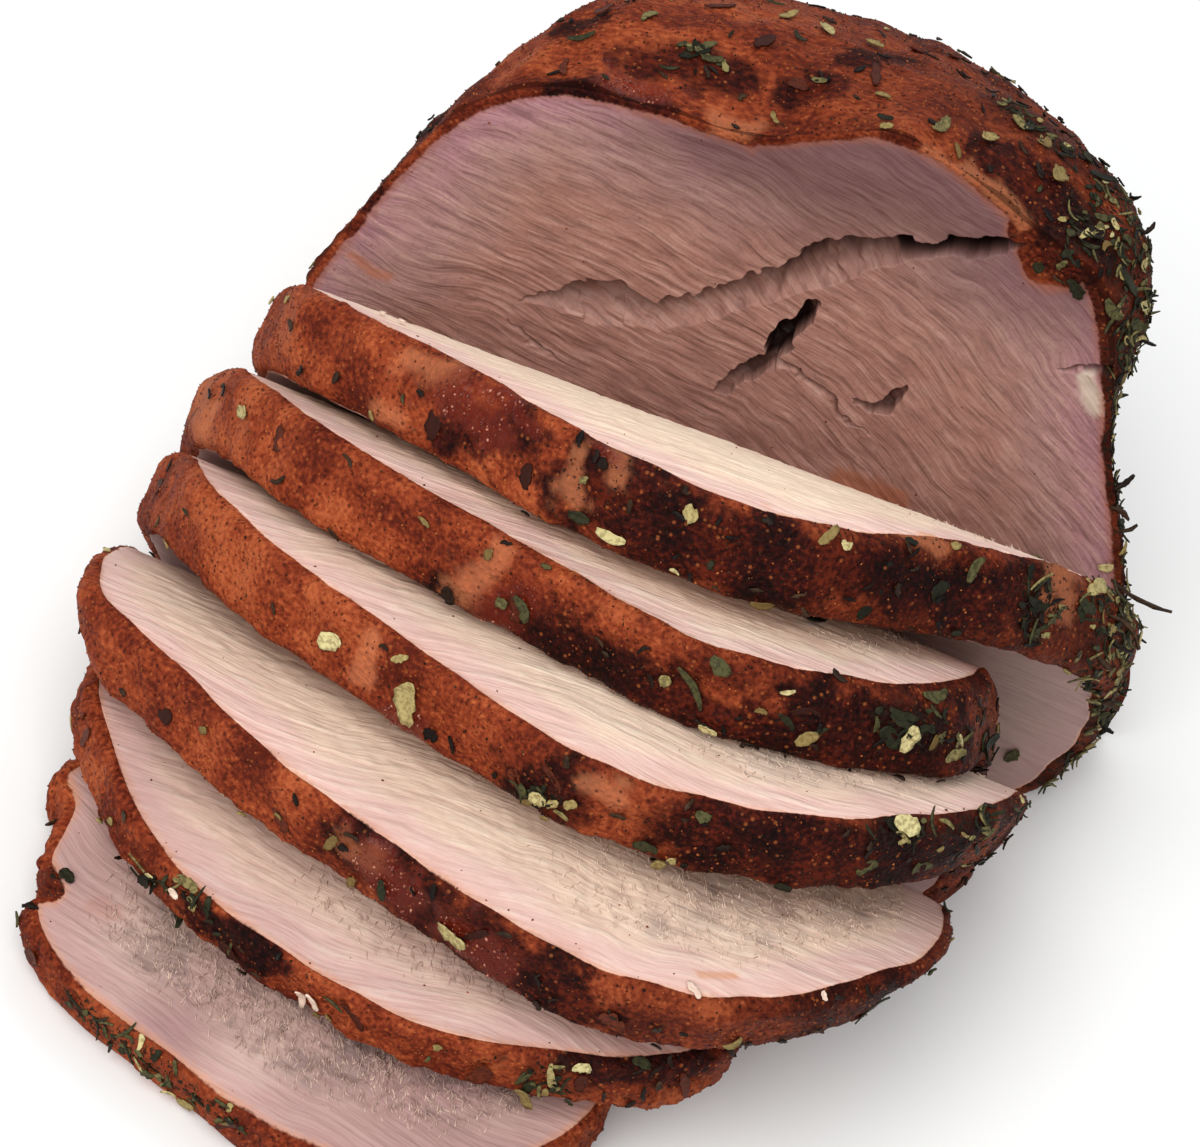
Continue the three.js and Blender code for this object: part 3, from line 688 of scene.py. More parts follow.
class Shader:
    """A material whose nodes are added by short calls. Each call gives back an output socket."""

    def __init__(self, name):
        self.material = bpy.data.materials.new(name)
        self.material.use_nodes = True
        self.nodes = self.material.node_tree.nodes
        self.links = self.material.node_tree.links
        self.surface = self.nodes["Principled BSDF"]

    def put(self, socket, value):
        if isinstance(value, bpy.types.NodeSocket):
            self.links.new(value, socket)
        else:
            socket.default_value = value

    def node(self, kind, inputs, output=0, **settings):
        made = self.nodes.new(kind)
        for key, value in settings.items():
            setattr(made, key, value)
        for key, value in inputs.items():
            self.put(made.inputs[key], value)
        return made.outputs[output]

    def value(self, name):
        return self.node("ShaderNodeAttribute", {}, "Fac", attribute_name=name)

    def vector(self, name):
        return self.node("ShaderNodeAttribute", {}, "Vector", attribute_name=name)

    def place(self):
        """The point in millimetres."""
        point = self.node("ShaderNodeTexCoord", {}, "Object")
        return self.node("ShaderNodeVectorMath", {0: point, "Scale": 1 / MM}, 0, operation="SCALE")

    def stretch(self, vector, sizes):
        shares = tuple(1 / size for size in sizes)
        return self.node("ShaderNodeVectorMath", {0: vector, 1: shares}, 0, operation="MULTIPLY")

    def noise(self, vector, size, detail):
        return self.node("ShaderNodeTexNoise", {"Vector": vector, "Scale": 1 / size, "Detail": detail}, 0)

    def cells(self, vector, size):
        """The distance to the nearest cell's middle, and a number drawn for each cell."""
        away = self.node("ShaderNodeTexVoronoi", {"Vector": vector, "Scale": 1 / size}, "Distance")
        return away, self.node("ShaderNodeSeparateColor", {0: away.node.outputs["Color"]}, 0)

    def math(self, operation, a, b=0.0, c=0.0):
        return self.node("ShaderNodeMath", {0: a, 1: b, 2: c}, 0, operation=operation)

    def plus(self, a, factor, b):
        """a times the factor, plus b."""
        return self.math("MULTIPLY_ADD", a, factor, b)

    def share(self, name, most):
        """A mask of the skin, times the most that it may count."""
        return self.math("MULTIPLY", self.value(name), most)

    def span(self, value, low, high, most=1.0):
        """Where value is between low and high, eased, as a number between 0 and most."""
        inputs = {"Value": value, "From Min": low, "From Max": high, "To Max": most}
        return self.node("ShaderNodeMapRange", inputs, 0, interpolation_type="SMOOTHSTEP")

    def blend(self, share, a, b):
        """A number between a and b."""
        return self.node("ShaderNodeMix", {0: share, 2: a, 3: b}, 0, data_type="FLOAT")

    def mix(self, share, a, b):
        """A colour between a and b."""
        b = b if isinstance(b, bpy.types.NodeSocket) else srgb(*b)
        return self.node("ShaderNodeMix", {0: share, 6: a, 7: b}, 2, data_type="RGBA")

    def ramp(self, share, stops):
        made = self.nodes.new("ShaderNodeValToRGB")
        elements = made.color_ramp.elements
        while len(elements) < len(stops):
            elements.new(0.5)
        for element, (position, colour) in zip(elements, stops):
            element.position = position
            element.color = srgb(*colour)
        self.put(made.inputs[0], share)
        return made.outputs[0]

    def bump(self, height, depth, strength=1.0):
        """Bump of a height, where depth is the size of 1 in millimetres."""
        inputs = {"Height": height, "Distance": depth * MM, "Strength": strength}
        return self.node("ShaderNodeBump", inputs, 0)

    def finish(self, colour, roughness, normal=None, specular=0.5):
        self.put(self.surface.inputs["Base Color"], colour)
        self.put(self.surface.inputs["Roughness"], roughness)
        if normal is not None:
            self.put(self.surface.inputs["Normal"], normal)
        self.put(self.surface.inputs["Specular IOR Level"], specular)
        return self.material


# Materials

# Colours are given as on the screen, and those of a ramp each with its place on it
CRUST_BROWN = [(0.34, (80, 27, 15)), (0.44, (110, 42, 22)), (0.55, (138, 60, 32)), (0.68, (166, 84, 48))]
# The deep crust, for its darker browning and for painted shade on the right
CRUST_DEEP = [(0.36, (20, 6, 5)), (0.5, (46, 12, 8)), (0.66, (88, 30, 15))]
CRUST_PALE = (192, 116, 78)
CRUST_WET = (98, 27, 12)
CRUST_HERBS = (32, 24, 18)
# How far pale and wet parts take these colours on, and the mottling between which herb dust shows
PALE_SHARE, WET_SHARE = 0.46, 0.62
HERB_DUST = (0.46, 0.6)
# The sizes of the crust's mottling and specks, the height of a speck and the distances of its edge.
# Specks are dark or light: the test and the limit that choose them, how strong, and their colour.
MOTTLE_SIZE = 0.6
SPECK_SIZE = 0.6
SPECK_HEIGHT = 0.7
SPECK_EDGE = (0.5, 0.2)
SPECKS = [("GREATER_THAN", 0.86, 0.7, (44, 16, 9)), ("LESS_THAN", 0.1, 0.35, (186, 104, 54))]
# How strong the mottling and the broad patches are in the crust's colour and at its border with the
# meat, and the distances from the crust between which the one turns into the other
COLOUR_MOTTLE, COLOUR_PATCH = 0.6, 0.4
BORDER_MOTTLE, BORDER_PATCH = 0.7, 0.9
CRUST_TO_MEAT = (1.6, 2.0)
# Roughness of the crust, how much mottling, wet parts and threads change it, how much each part
# shines, and how much a wet part evens out the bump
CRUST_ROUGH, ROUGH_BY_MOTTLE, ROUGH_BY_WET = 0.55, 0.2, -0.42
ROUGH_BY_THREAD = 0.3
CRUST_SHINE, WET_SHINE, MEAT_SHINE = 0.06, 0.06, 0.16
BUMP_BY_WET = -0.3

# Streaks of the cut meat: the noise, the values between which they set in, strength and colour
MEAT_STREAKS = [
    ("broad", (0.5, 0.68), "streak", "light"),
    ("broad", (0.48, 0.32), "streak", "deep"),
    ("threads", (0.46, 0.32), "thread", "deep"),
    ("threads", (0.58, 0.7), "thread", "light"),
    ("mottle", (0.47, 0.36), "mottle", "deep"),
]
# Marks mixed into the meat, each with how much: sinew and stains are its own colours, the dim parts are
# painted shade
MEAT_MARKS = [("sinew", 0.8), ("stain", 0.6), ("under", 0.8)]
MEAT_EDGE = (2.8, 1.2, 0.8)
EDGE_MOTTLE = 1.2
# Where the painted shade of grooves and gaps turns to the deepest shade colour, and how far
GAP_SHADE_TO_DEEPEST = (0.55, 0.9, 0.95)

# The cut meat: its colours from the crust inwards over the reach, how far that wanders, the sizes of
# streaks and threads along and across the fibres, colours, strengths, bump and roughness. The colours
# for the dim parts, the gaps and the depths are painted shade.
SLICED_MEAT = {
    "band": [
        (0.0, (216, 170, 156)), (0.1, (226, 186, 174)), (0.26, (232, 196, 184)),
        (0.46, (240, 212, 188)), (1.0, (242, 218, 192)),
    ],
    "reach": 15.0, "wander": 4.0, "streak_size": (7.0, 0.9, 0.9), "thread_size": (6.0, 0.3, 0.3),
    "light": (248, 236, 216), "deep": (210, 170, 152), "edge": (204, 140, 102),
    "stain": (214, 146, 96), "sinew": (236, 216, 190), "under": (160, 124, 122),
    "gap": (148, 126, 120), "depth": (92, 74, 72),
    "streak": 0.26, "thread": 0.2, "mottle": 0.14, "bump": 0.28, "roughness": 0.34,
}
# The block's cut face: greyer and darker than the slices' meat, partly its own oxidised tone and partly
# painted shade on a face that stands upright under light from above
BLOCK_MEAT = {
    "band": [
        (0.0, (156, 112, 120)), (0.2, (162, 120, 122)), (0.5, (158, 121, 114)), (1.0, (155, 113, 101)),
    ],
    "reach": 16.0, "wander": 6.0, "streak_size": (6.0, 0.8, 0.8), "thread_size": (5.0, 0.3, 0.3),
    "light": (188, 154, 140), "deep": (92, 64, 58), "edge": (146, 86, 66),
    "stain": (160, 92, 58), "sinew": (196, 180, 162), "under": (96, 66, 66),
    "gap": (92, 62, 56), "depth": (30, 17, 16),
    "streak": 0.34, "thread": 0.34, "mottle": 0.2, "bump": 0.28, "roughness": 0.36,
}

# What lies on the crust and the meat: roughness, shine and the colours that one is drawn from. Its fine
# ridges have a size, a height, and values between which they set in, with their strength.
LOOSE_LOOKS = {
    "herb_green": (
        0.6, 0.12, [(0.0, (22, 22, 13)), (0.5, (48, 48, 30)), (0.8, (84, 80, 48)), (1.0, (142, 128, 80))],
    ),
    "herb_straw": (0.55, 0.12, [(0.0, (104, 82, 44)), (0.5, (156, 138, 86)), (1.0, (204, 192, 138))]),
    "herb_dark": (0.5, 0.12, [(0.0, (16, 10, 8)), (0.6, (36, 23, 15)), (1.0, (66, 46, 30))]),
    "spice": (0.55, 0.12, [(0.0, (70, 23, 11)), (0.6, (122, 52, 25)), (1.0, (172, 98, 52))]),
    "coated_flake": (0.6, 0.12, [(0.0, (44, 16, 9)), (0.5, (76, 30, 16)), (1.0, (102, 44, 24))]),
    "shred": (0.45, 0.12, [(0.0, (214, 186, 168)), (1.0, (240, 218, 196))]),
    # Fibre ends: the shreds' colours darkened with painted shade, for torn fibres on the dimmer meat
    "shaded_fibre_end": (0.5, 0.12, [(0.0, (168, 136, 126)), (1.0, (222, 194, 176))]),
    # Grease beads: dark red-brown drops, the palest of them painted glints
    "grease_and_glint": (0.12, 0.5, [(0.0, (92, 28, 16)), (0.7, (134, 54, 32)), (1.0, (196, 132, 106))]),
}
RIDGE_SIZE = 0.5
RIDGE_HEIGHT = 0.15
RIDGE_DARK = (0.45, 0.6, 0.5)


def crust_colour(shader, mottle, specks, draw):
    """Browned spice crust: orange to dark red-brown, speckled, darker and greener by masks."""
    blend = shader.plus(mottle, COLOUR_MOTTLE, shader.share("patch", COLOUR_PATCH))
    colour = shader.mix(shader.value("dark"), shader.ramp(blend, CRUST_BROWN), shader.ramp(blend, CRUST_DEEP))
    colour = shader.mix(shader.share("pale", PALE_SHARE), colour, CRUST_PALE)
    near = shader.span(specks, *SPECK_EDGE)
    for test, limit, strength, tint in SPECKS:
        chosen = shader.math("MULTIPLY", shader.math(test, draw, limit), near)
        colour = shader.mix(shader.math("MULTIPLY", chosen, strength), colour, tint)
    colour = shader.mix(shader.share("wet", WET_SHARE), colour, CRUST_WET)
    herbs = shader.math("MULTIPLY", shader.value("herb"), shader.span(mottle, *HERB_DUST))
    return shader.mix(herbs, colour, CRUST_HERBS)


def meat_colour(shader, rim, mottle, look):
    """Cut meat: a band of colours inwards from the crust, streaked along the fibres."""
    fibre = shader.vector("fibre")
    broad = shader.noise(shader.stretch(fibre, look["streak_size"]), 1.0, 2.0)
    threads = shader.noise(shader.stretch(fibre, look["thread_size"]), 1.0, 2.0)
    uneven = shader.math("SUBTRACT", shader.math("ADD", shader.value("patch"), broad), 1.0)
    reach = shader.plus(uneven, look["wander"], rim)
    body = shader.ramp(shader.math("DIVIDE", reach, look["reach"]), look["band"])
    fields = {"broad": broad, "threads": threads, "mottle": mottle}
    for field, limits, strength, tint in MEAT_STREAKS:
        body = shader.mix(shader.span(fields[field], *limits, look[strength]), body, look[tint])
    # Sinew and stains, and painted shade on the dim parts
    for mark, most in MEAT_MARKS:
        body = shader.mix(shader.share(mark, most), body, look[mark])
    edge = shader.plus(mottle, EDGE_MOTTLE, rim)
    return shader.mix(shader.span(edge, *MEAT_EDGE), body, look["edge"]), broad, threads


def roast_material(name, look):
    """Crust where the distance from the crust is nothing, and cut meat beyond."""
    shader = Shader(name)
    rim, gap, wet = (shader.value(key) for key in ("rim", "gap", "wet"))
    mottle = shader.noise(shader.vector("grain"), MOTTLE_SIZE, 3.0)
    border = shader.plus(mottle, BORDER_MOTTLE, rim)
    border = shader.plus(shader.value("patch"), BORDER_PATCH, border)
    is_meat = shader.span(border, *CRUST_TO_MEAT)
    specks, draw = shader.cells(shader.place(), SPECK_SIZE)
    meat, broad, threads = meat_colour(shader, rim, mottle, look)
    colour = shader.mix(is_meat, crust_colour(shader, mottle, specks, draw), meat)
    # Painted shade: grooves and torn gaps darkened to the gap colour, and to the depth colour where deepest
    colour = shader.mix(gap, colour, look["gap"])
    colour = shader.mix(shader.span(gap, *GAP_SHADE_TO_DEEPEST), colour, look["depth"])
    height = shader.blend(is_meat, shader.plus(specks, SPECK_HEIGHT, mottle), broad)
    normal = shader.bump(height, look["bump"], shader.plus(wet, BUMP_BY_WET, 1.0))
    crust_rough = shader.plus(wet, ROUGH_BY_WET, shader.plus(mottle, ROUGH_BY_MOTTLE, CRUST_ROUGH))
    meat_rough = shader.plus(threads, ROUGH_BY_THREAD, look["roughness"])
    shine = shader.blend(is_meat, shader.plus(wet, WET_SHINE, CRUST_SHINE), MEAT_SHINE)
    return shader.finish(colour, shader.blend(is_meat, crust_rough, meat_rough), normal, shine)


def loose_material(name):
    """Dried herb, grain or shred: a colour drawn for each one, mottled, with fine ridges."""
    roughness, shine, stops = LOOSE_LOOKS[name]
    shader = Shader(name)
    ridges = shader.noise(shader.place(), RIDGE_SIZE, 2.0)
    colour = shader.ramp(shader.value("tone"), stops)
    colour = shader.mix(shader.span(ridges, *RIDGE_DARK), colour, stops[0][1])
    return shader.finish(colour, roughness, shader.bump(ridges, RIDGE_HEIGHT), shine)


# The camera and its pixels


def camera_axes():
    """The camera's right, up and forward directions."""
    e, r = math.radians(ELEVATION), math.radians(ROLL)
    forward = np.array([0, math.cos(e), -math.sin(e)])
    level, upright = np.array([1.0, 0, 0]), np.array([0, math.sin(e), math.cos(e)])
    right = math.cos(r) * level + math.sin(r) * upright
    up = -math.sin(r) * level + math.cos(r) * upright
    return right, up, forward


def pixel_direction(pixel):
    right, up, forward = camera_axes()
    focal = LENS / SENSOR_WIDTH * IMAGE_SIZE[0]
    aside = (pixel[0] - IMAGE_SIZE[0] / 2) / focal
    below = (pixel[1] - IMAGE_SIZE[1] / 2) / focal
    return forward + aside * right - below * up


CAMERA_AT = np.array(TARGET) - TARGET_DEPTH * pixel_direction(TARGET_PIXEL)


def add_camera():
    data = bpy.data.cameras.new("camera")
    data.sensor_width = SENSOR_WIDTH
    data.lens = LENS
    data.clip_start = CLIP_START
    camera = bpy.data.objects.new("camera", data)
    right, up, forward = camera_axes()
    turn = Matrix((right, up, -forward)).transposed().to_4x4()
    camera.matrix_world = Matrix.Translation(Vector(CAMERA_AT * MM)) @ turn
    bpy.context.scene.collection.objects.link(camera)
    bpy.context.scene.camera = camera


def add_area_light(name, at, size, power, colour):
    data = bpy.data.lights.new(name, "AREA")
    data.shape = "DISK"
    data.size = size
    data.energy = power
    data.color = colour
    light = bpy.data.objects.new(name, data)
    light.location = at
    light.rotation_euler = (-Vector(at)).to_track_quat("-Z", "Y").to_euler()
    bpy.context.scene.collection.objects.link(light)


def add_stage():
    """A plain pale floor, a soft light from the front left above, and a weak one from behind."""
    shader = Shader("floor")
    shader.finish(FLOOR_COLOUR, 0.5)
    mesh = bpy.data.meshes.new("floor")
    corners = [(x * FLOOR_REACH, y * FLOOR_REACH, 0) for x, y in ((-1, -1), (1, -1), (1, 1), (-1, 1))]
    mesh.from_pydata(corners, [], [(0, 1, 2, 3)])
    floor = bpy.data.objects.new("floor", mesh)
    mesh.materials.append(shader.material)
    bpy.context.scene.collection.objects.link(floor)
    for name, light in LIGHTS.items():
        add_area_light(name, *light)
    world = bpy.data.worlds.new("world")
    world.use_nodes = True
    sky = world.node_tree.nodes["Background"]
    sky.inputs["Color"].default_value = SKY_COLOUR
    sky.inputs["Strength"].default_value = SKY_STRENGTH
    bpy.context.scene.world = world
    bpy.context.scene.view_settings.view_transform = "Standard"


# The block and the slices


def groove_sink(plane):
    """How deep the grooves sink the cut face, and how much painted shade darkens them."""
    moved = plane + np.stack([layered(flat(plane), layers) for layers in RAGGED_LIPS], 1)
    sink, dark = np.zeros(len(plane)), np.zeros(len(plane))
    for (places, depths, shades), rows in GROOVES:
        lip, sizes = np.split(np.array(rows, float), [2], axis=1)
        away, where = distance_to(moved, lip)
        step = np.clip(where.astype(int), 0, len(lip) - 2)
        ahead, offset = lip[step + 1] - lip[step], moved - lip[step]
        below = ahead[:, 0] * offset[:, 1] - ahead[:, 1] * offset[:, 0] < 0
        width, depth, shade = (np.interp(where, range(len(lip)), size) for size in sizes.T)
        sink = np.maximum(sink, below * depth * np.interp(away / width, places, depths, right=0))
        dark = np.maximum(dark, below * shade * np.interp(away / width, places, shades, right=0))
    return sink, dark


def block_fibres(plane, points):
    """Coordinates along and across the fibres of the cut face, which bend down to the right."""
    angles = np.radians(FIBRE_ANGLES)
    normals = np.stack([-np.sin(angles), np.cos(angles)], 1)
    across = plane @ normals[0]
    for before, after, corner in zip(normals, normals[1:], FIBRE_BENDS):
        across += FIBRE_EASE * np.logaddexp(0, (plane - corner) @ (after - before) / FIBRE_EASE)
    across += layered(flat(plane), BLOCK_BENDS)
    return np.stack([plane @ np.array(FIBRE_RUN), across, points[:, 1]], 1)


def near_groove(points):
    """Which points are on a groove of the cut face or close to it."""
    away = []
    for _, rows in GROOVES:
        rows = np.array(rows, float)
        away.append(distance_to(points[:, [0, 2]], rows[:, :2])[0] - rows[:, 2].max())
    return (np.min(away, axis=0) < CLOSE_TO_GROOVE) & (points[:, 1] < 0.01)


def border_distance(points, outline):
    """The distance to an outline, whose every second point is near enough."""
    return distance_to(points, np.vstack([outline, outline[:1]])[::2])[0]


def block_skin(outline):
    """The block's closed skin, with the cut face marked."""
    body = closed_outline(BODY_OUTLINE, BLOCK_SIDES)
    shares = np.linspace(0, 1, BLOCK_FACE_RINGS + 1)[1:]
    turns = np.linspace(0, math.pi / 2, BLOCK_ROWS + 1)[1:-1]
    depths = BLOCK_DEPTH * np.sin(turns) ** ROW_CROWDING
    rings = [block_points(outline, share, 0) for share in shares]
    rings += [block_points(block_outline(outline, body, depth), 1, depth) for depth in depths]
    front, back = (np.array([[BLOCK_CENTRE[0], depth, BLOCK_CENTRE[1]]]) for depth in (0, BLOCK_DEPTH))
    on_face = [1.0] * (1 + len(shares)) + [0.0] * (len(depths) + 1)
    counts = [1] + [BLOCK_SIDES] * len(rings) + [1]
    mesh = ring_skin("roast_block_skin", front, rings, back, {"face": np.repeat(on_face, counts)})
    trim_below(mesh)
    refine_near(mesh, near_groove, 2)
    return mesh


def block_rim(plane, face, outline):
    """How far points of the cut face are from the crust, also where that comes over the edge."""
    rim = np.full(len(plane), FAR)
    rim[face] = border_distance(plane[face], outline)
    for x, z, radius in CRUST_OVER_FACE:
        away = np.hypot(plane[:, 0] - x, plane[:, 1] - z) + layered(flat(plane), CRUST_EDGE)
        rim = np.minimum(rim, np.maximum(0, away - radius))
    return np.where(face, rim, 0)


def block_mesh():
    """The block's skin, with the cut face's splits, relief and masks."""
    outline = closed_outline(BLOCK_OUTLINE, BLOCK_SIDES)
    mesh = block_skin(outline)
    points = points_of(mesh)
    face = values_of(mesh, "face") > 0.99
    plane = points[:, [0, 2]]
    rim = block_rim(plane, face, outline)
    # The grooves sink the face, and dark is the painted shade in them
    sink, dark = (np.where(face, field, 0) for field in groove_sink(plane))
    fibre = block_fibres(plane, points)
    relief = layered(fibre, BLOCK_STRANDS) + layered(flat(plane), BLOCK_WAVES)
    inside = smooth(rim, *FROM_RIM) * smooth(points[:, 2], *BLOCK_FROM_FLOOR)
    points[:, 1] += np.where(face, sink + inside * relief, 0)
    set_points(mesh, points)
    grain = np.where(face[:, None], flat(plane), points / (CRUST_STREAK, 1, 1))
    push_crust(mesh, ~face, grain, BLOCK_SEED, BLOCK_GRIT)
    # Painted shade: the upper right of the cut face is darkened
    height = plane[:, 1] + layered(flat(plane), SHADE_EDGE)
    painted_dimness = smooth(height, *SHADE_UPWARDS) * smooth(plane[:, 0], *SHADE_TO_THE_RIGHT)
    under, torn = np.where(face, painted_dimness, 0), np.zeros(len(points))
    set_fields(mesh, rim=rim, gap=dark, under=under, torn=torn, fibre=fibre, grain=grain)
    set_points(mesh, placed(points_of(mesh), BLOCK_AT, BLOCK_YAW))
    return mesh


def push_crust(mesh, crust, grain, seed, grit):
    """Fine lumps and grit on the crust, none at the flat underside."""
    points, normals = points_of(mesh), normals_of(mesh)
    lumps = fractal(points, LUMP_SIZE, 2, seed) * LUMP_HEIGHT + fractal(grain, GRIT_SIZE, 3, seed + 3) * grit
    share = np.where(crust, smooth(points[:, 2], *CRUST_FROM_FLOOR), 0)
    set_points(mesh, points + normals * (lumps * share)[:, None])


def inward_shares(count):
    """Shares of the way out, closest together at the rim."""
    return RIM_SHARE * (1 - np.linspace(0, 1, count + 1)[:-1] ** RING_CROWDING)


def slice_skin(piece, outline, seed):
    """A slice's closed skin, with each point's place across, up and out from its middle."""
    half = piece["thick"] / 2
    layers = [(share, -half) for share in inward_shares(FRONT_RINGS)[::-1]]
    for turn in np.linspace(-1, 1, CRUST_ROWS + 2)[1:-1]:
        out = math.sin(math.pi / 2 * turn)
        share = RIM_SHARE + (CRUST_SHARE - RIM_SHARE) * math.sqrt(1 - abs(out) ** CRUST_ROUNDING)
        layers.append((share, out * half))
    layers += [(share, half) for share in inward_shares(REAR_RINGS)]
    planes = [slice_plane(piece, outline, share, out, seed) for share, out in layers]
    middle = np.array([[0, MIDDLE_HEIGHT * crown_height(piece)]])
    plane = np.vstack([middle, *planes, middle])
    out = np.concatenate([[-half], *(np.full(SLICE_SIDES, out) for _, out in layers), [half]])
    points = slice_points(piece, plane[:, 0], plane[:, 1], out)
    rings = np.split(points[1:-1], len(layers))
    values = {"u": plane[:, 0], "v": plane[:, 1], "out": out}
    mesh = ring_skin(piece["name"] + "_skin", points[:1], rings, points[-1:], values)
    trim_below(mesh)
    return mesh


def slice_mesh(piece, seed):
    """A slice's skin, with the cut faces' relief and masks."""
    outline = closed_outline(piece["outline"], SLICE_SIDES)
    mesh = slice_skin(piece, outline, seed)
    u, v, out = (values_of(mesh, key) for key in ("u", "v", "out"))
    plane = np.stack([u, v], 1)
    face = np.abs(out) > piece["thick"] / 2 - 0.01
    rim = np.where(face, border_distance(plane, outline), 0)
    fibre = slice_fibres(plane, out, seed)
    relief, gap, torn = cut_relief(piece, plane, rim, fibre, seed)
    inside = smooth(rim, *FROM_RIM) * smooth(points_of(mesh)[:, 2], *FROM_FLOOR)
    set_points(mesh, points_of(mesh) + normals_of(mesh) * (inside * relief)[:, None])
    grain = points_of(mesh)
    push_crust(mesh, ~face, grain, seed + 20, piece["grit"])
    # Painted shade: the front faces, turned down and away, fully, and the rear faces of the lower slices as
    # far as they are dimmed
    shade = piece["painted_dimness"] * (1 + layered(flat(plane), SLICE_SHADE, seed))
    under = np.where(face, np.where(out < 0, 1, shade), 0)
    torn = np.where(face & (out > 0), torn, 0)
    set_fields(mesh, rim=rim, gap=inside * gap, under=under, torn=torn, fibre=fibre, grain=grain)
    set_points(mesh, placed(points_of(mesh), (piece["x"], piece["y"]), piece["yaw"]))
    return mesh


def cut_relief(piece, plane, rim, fibre, seed):
    """Height of a slice's cut face, the painted shade where its fibres are torn, and how torn it is."""
    low, high, amount = piece["torn"]
    torn = amount * smooth(plane[:, 0], low, high) * smooth(rim, *TORN_FROM_RIM)
    ends = fibre[:, [1, 0, 2]] + layered(flat(plane), TUFT_ENDS, seed)[:, None]
    tufts = layered(ends, SLICE_TUFTS, seed)
    bumps = layered(flat(plane), SLICE_BUMPS, seed) * (0.6 + smooth(rim, 4, 10))
    relief = layered(fibre, SLICE_STRANDS, seed) + bumps + torn * tufts * TUFT_HEIGHT
    # Painted shade: broad clouds over the torn parts, and darker between the tufts
    cloudy = CLOUD_SHADE * smooth(fractal(flat(plane), 8, 2, seed + 8), -0.6, 0.7)
    gap = torn * (cloudy + TUFT_SHADE * smooth(tufts, 0.0, -0.9))
    return relief, np.minimum(gap, DEEPEST_GAP_SHADE), torn


def slice_fibres(plane, out, seed):
    """Coordinates along and across the fibres of a slice."""
    turn = math.radians(SLICE_RUN)
    along = plane[:, 0] * math.cos(turn) + plane[:, 1] * math.sin(turn)
    across = -plane[:, 0] * math.sin(turn) + plane[:, 1] * math.cos(turn)
    return np.stack([along, across + layered(flat(plane), SLICE_BENDS, seed), out], 1)


def skin_tree(meshes):
    """What the camera's rays meet."""
    points, faces, start = [], [], 0
    for mesh in meshes:
        points += points_of(mesh).tolist()
        faces += (triangles_of(mesh) + start).tolist()
        start = len(points)
    return BVHTree.FromPolygons(points, faces)


def seen(tree, pixel):
    """The point of the skins that the camera sees at a pixel, and the direction out of them."""
    towards = Vector(pixel_direction(pixel)).normalized()
    place, normal, _, _ = tree.ray_cast(Vector(CAMERA_AT), towards)
    if place is None:
        return None, None
    if normal.dot(towards) > 0:
        normal = -normal
    return np.array(place), np.array(normal)


def seen_line(tree, pixels):
    places = [seen(tree, pixel)[0] for pixel in pixels]
    return np.array([place for place in places if place is not None])


def marked(points, marks, crumple):
    """How strongly the marks colour each point, from their radii and lines."""
    field = np.zeros(len(points))
    for radius, line in marks:
        line = line if len(line) > 1 else np.repeat(line, 2, axis=0)
        reach = np.ptp(line, 0).max() + 3 * radius
        near = np.linalg.norm(points - line.mean(0), axis=1) < reach
        away, _ = distance_to(points[near], line)
        shade = smooth(away * crumple[near], *(radius * share for share in MARK_ENDS))
        field[near] = np.maximum(field[near], shade)
    return field


def is_block(mesh):
    return mesh.name.startswith("roast_block")


def dress(meshes, tree):
    """Gives the skins the masks that their colours and herbs need."""
    lines = {
        kind: [(radius, seen_line(tree, pixels)) for radius, *pixels in marks]
        for kind, marks in MARKS.items()
    }
    for mesh in meshes:
        points = points_of(mesh)
        crumple = 1 + 0.5 * fractal(points, 2.2, 3, 77)
        fields = {kind: marked(points, marks, crumple) for kind, marks in lines.items()}
        wander = fractal(points, 9, 2, 31)
        # The crust darkens to the right: partly its own deeper browning, partly painted shade
        strength, least = BLOCK_DARK if is_block(mesh) else SLICE_DARK
        right = smooth(points[:, 0], *DARK_TO_THE_RIGHT)
        broad = right * (DARK_LEVEL + DARK_WANDER * wander) * strength + least
        fields["dark"] = np.clip(np.maximum(broad, fields["dark"] * MARK_DARKNESS), 0, 1)
        herb = smooth(points[:, 0], *HERBS_TO_THE_RIGHT) * HERB_LEVEL
        herb += HERB_WANDER * wander * (herb > 0)
        fields["herb"] = np.clip(np.maximum(herb, fields["herb"]), 0, 1)
        patch = PATCH_LEVEL + PATCH_WANDER * fractal(vectors_of(mesh, "grain"), 5.5, 3, 51)
        fields["patch"] = np.clip(patch, 0, 1)
        set_fields(mesh, **fields)


def surface_samples(meshes, count, rng, weigh):
    """Random places on the skins, with directions out of them, closer together where weigh is more.
    weigh takes a skin and gives a weight for each of its points."""
    corners, outwards, weights = [], [], []
    for mesh in meshes:
        triangles = triangles_of(mesh)
        points = points_of(mesh)
        a, b, c = (points[triangles[:, i]] for i in range(3))
        cross = np.cross(b - a, c - a)
        area = np.linalg.norm(cross, axis=1) / 2
        weight = (weigh(mesh) * (points[:, 2] > LOWEST_FLAKE))[triangles]
        corners.append(np.stack([a, b, c], 1))
        outwards.append(cross / np.maximum(area * 2, 1e-9)[:, None])
        weights.append(area * weight.mean(1) * (weight > 0).all(1))
    corners, outwards, weights = (np.concatenate(x) for x in (corners, outwards, weights))
    chosen = rng.choice(len(weights), count, p=weights / weights.sum())
    shares = rng.random((count, 2))
    shares = np.where(shares.sum(1, keepdims=True) > 1, 1 - shares, shares)
    a, b, c = (corners[chosen, i] for i in range(3))
    at = a + shares[:, :1] * (b - a) + shares[:, 1:] * (c - a)
    return at, outwards[chosen]


def on_crust(mesh):
    return values_of(mesh, "rim") < 0.3


# Herbs and spice


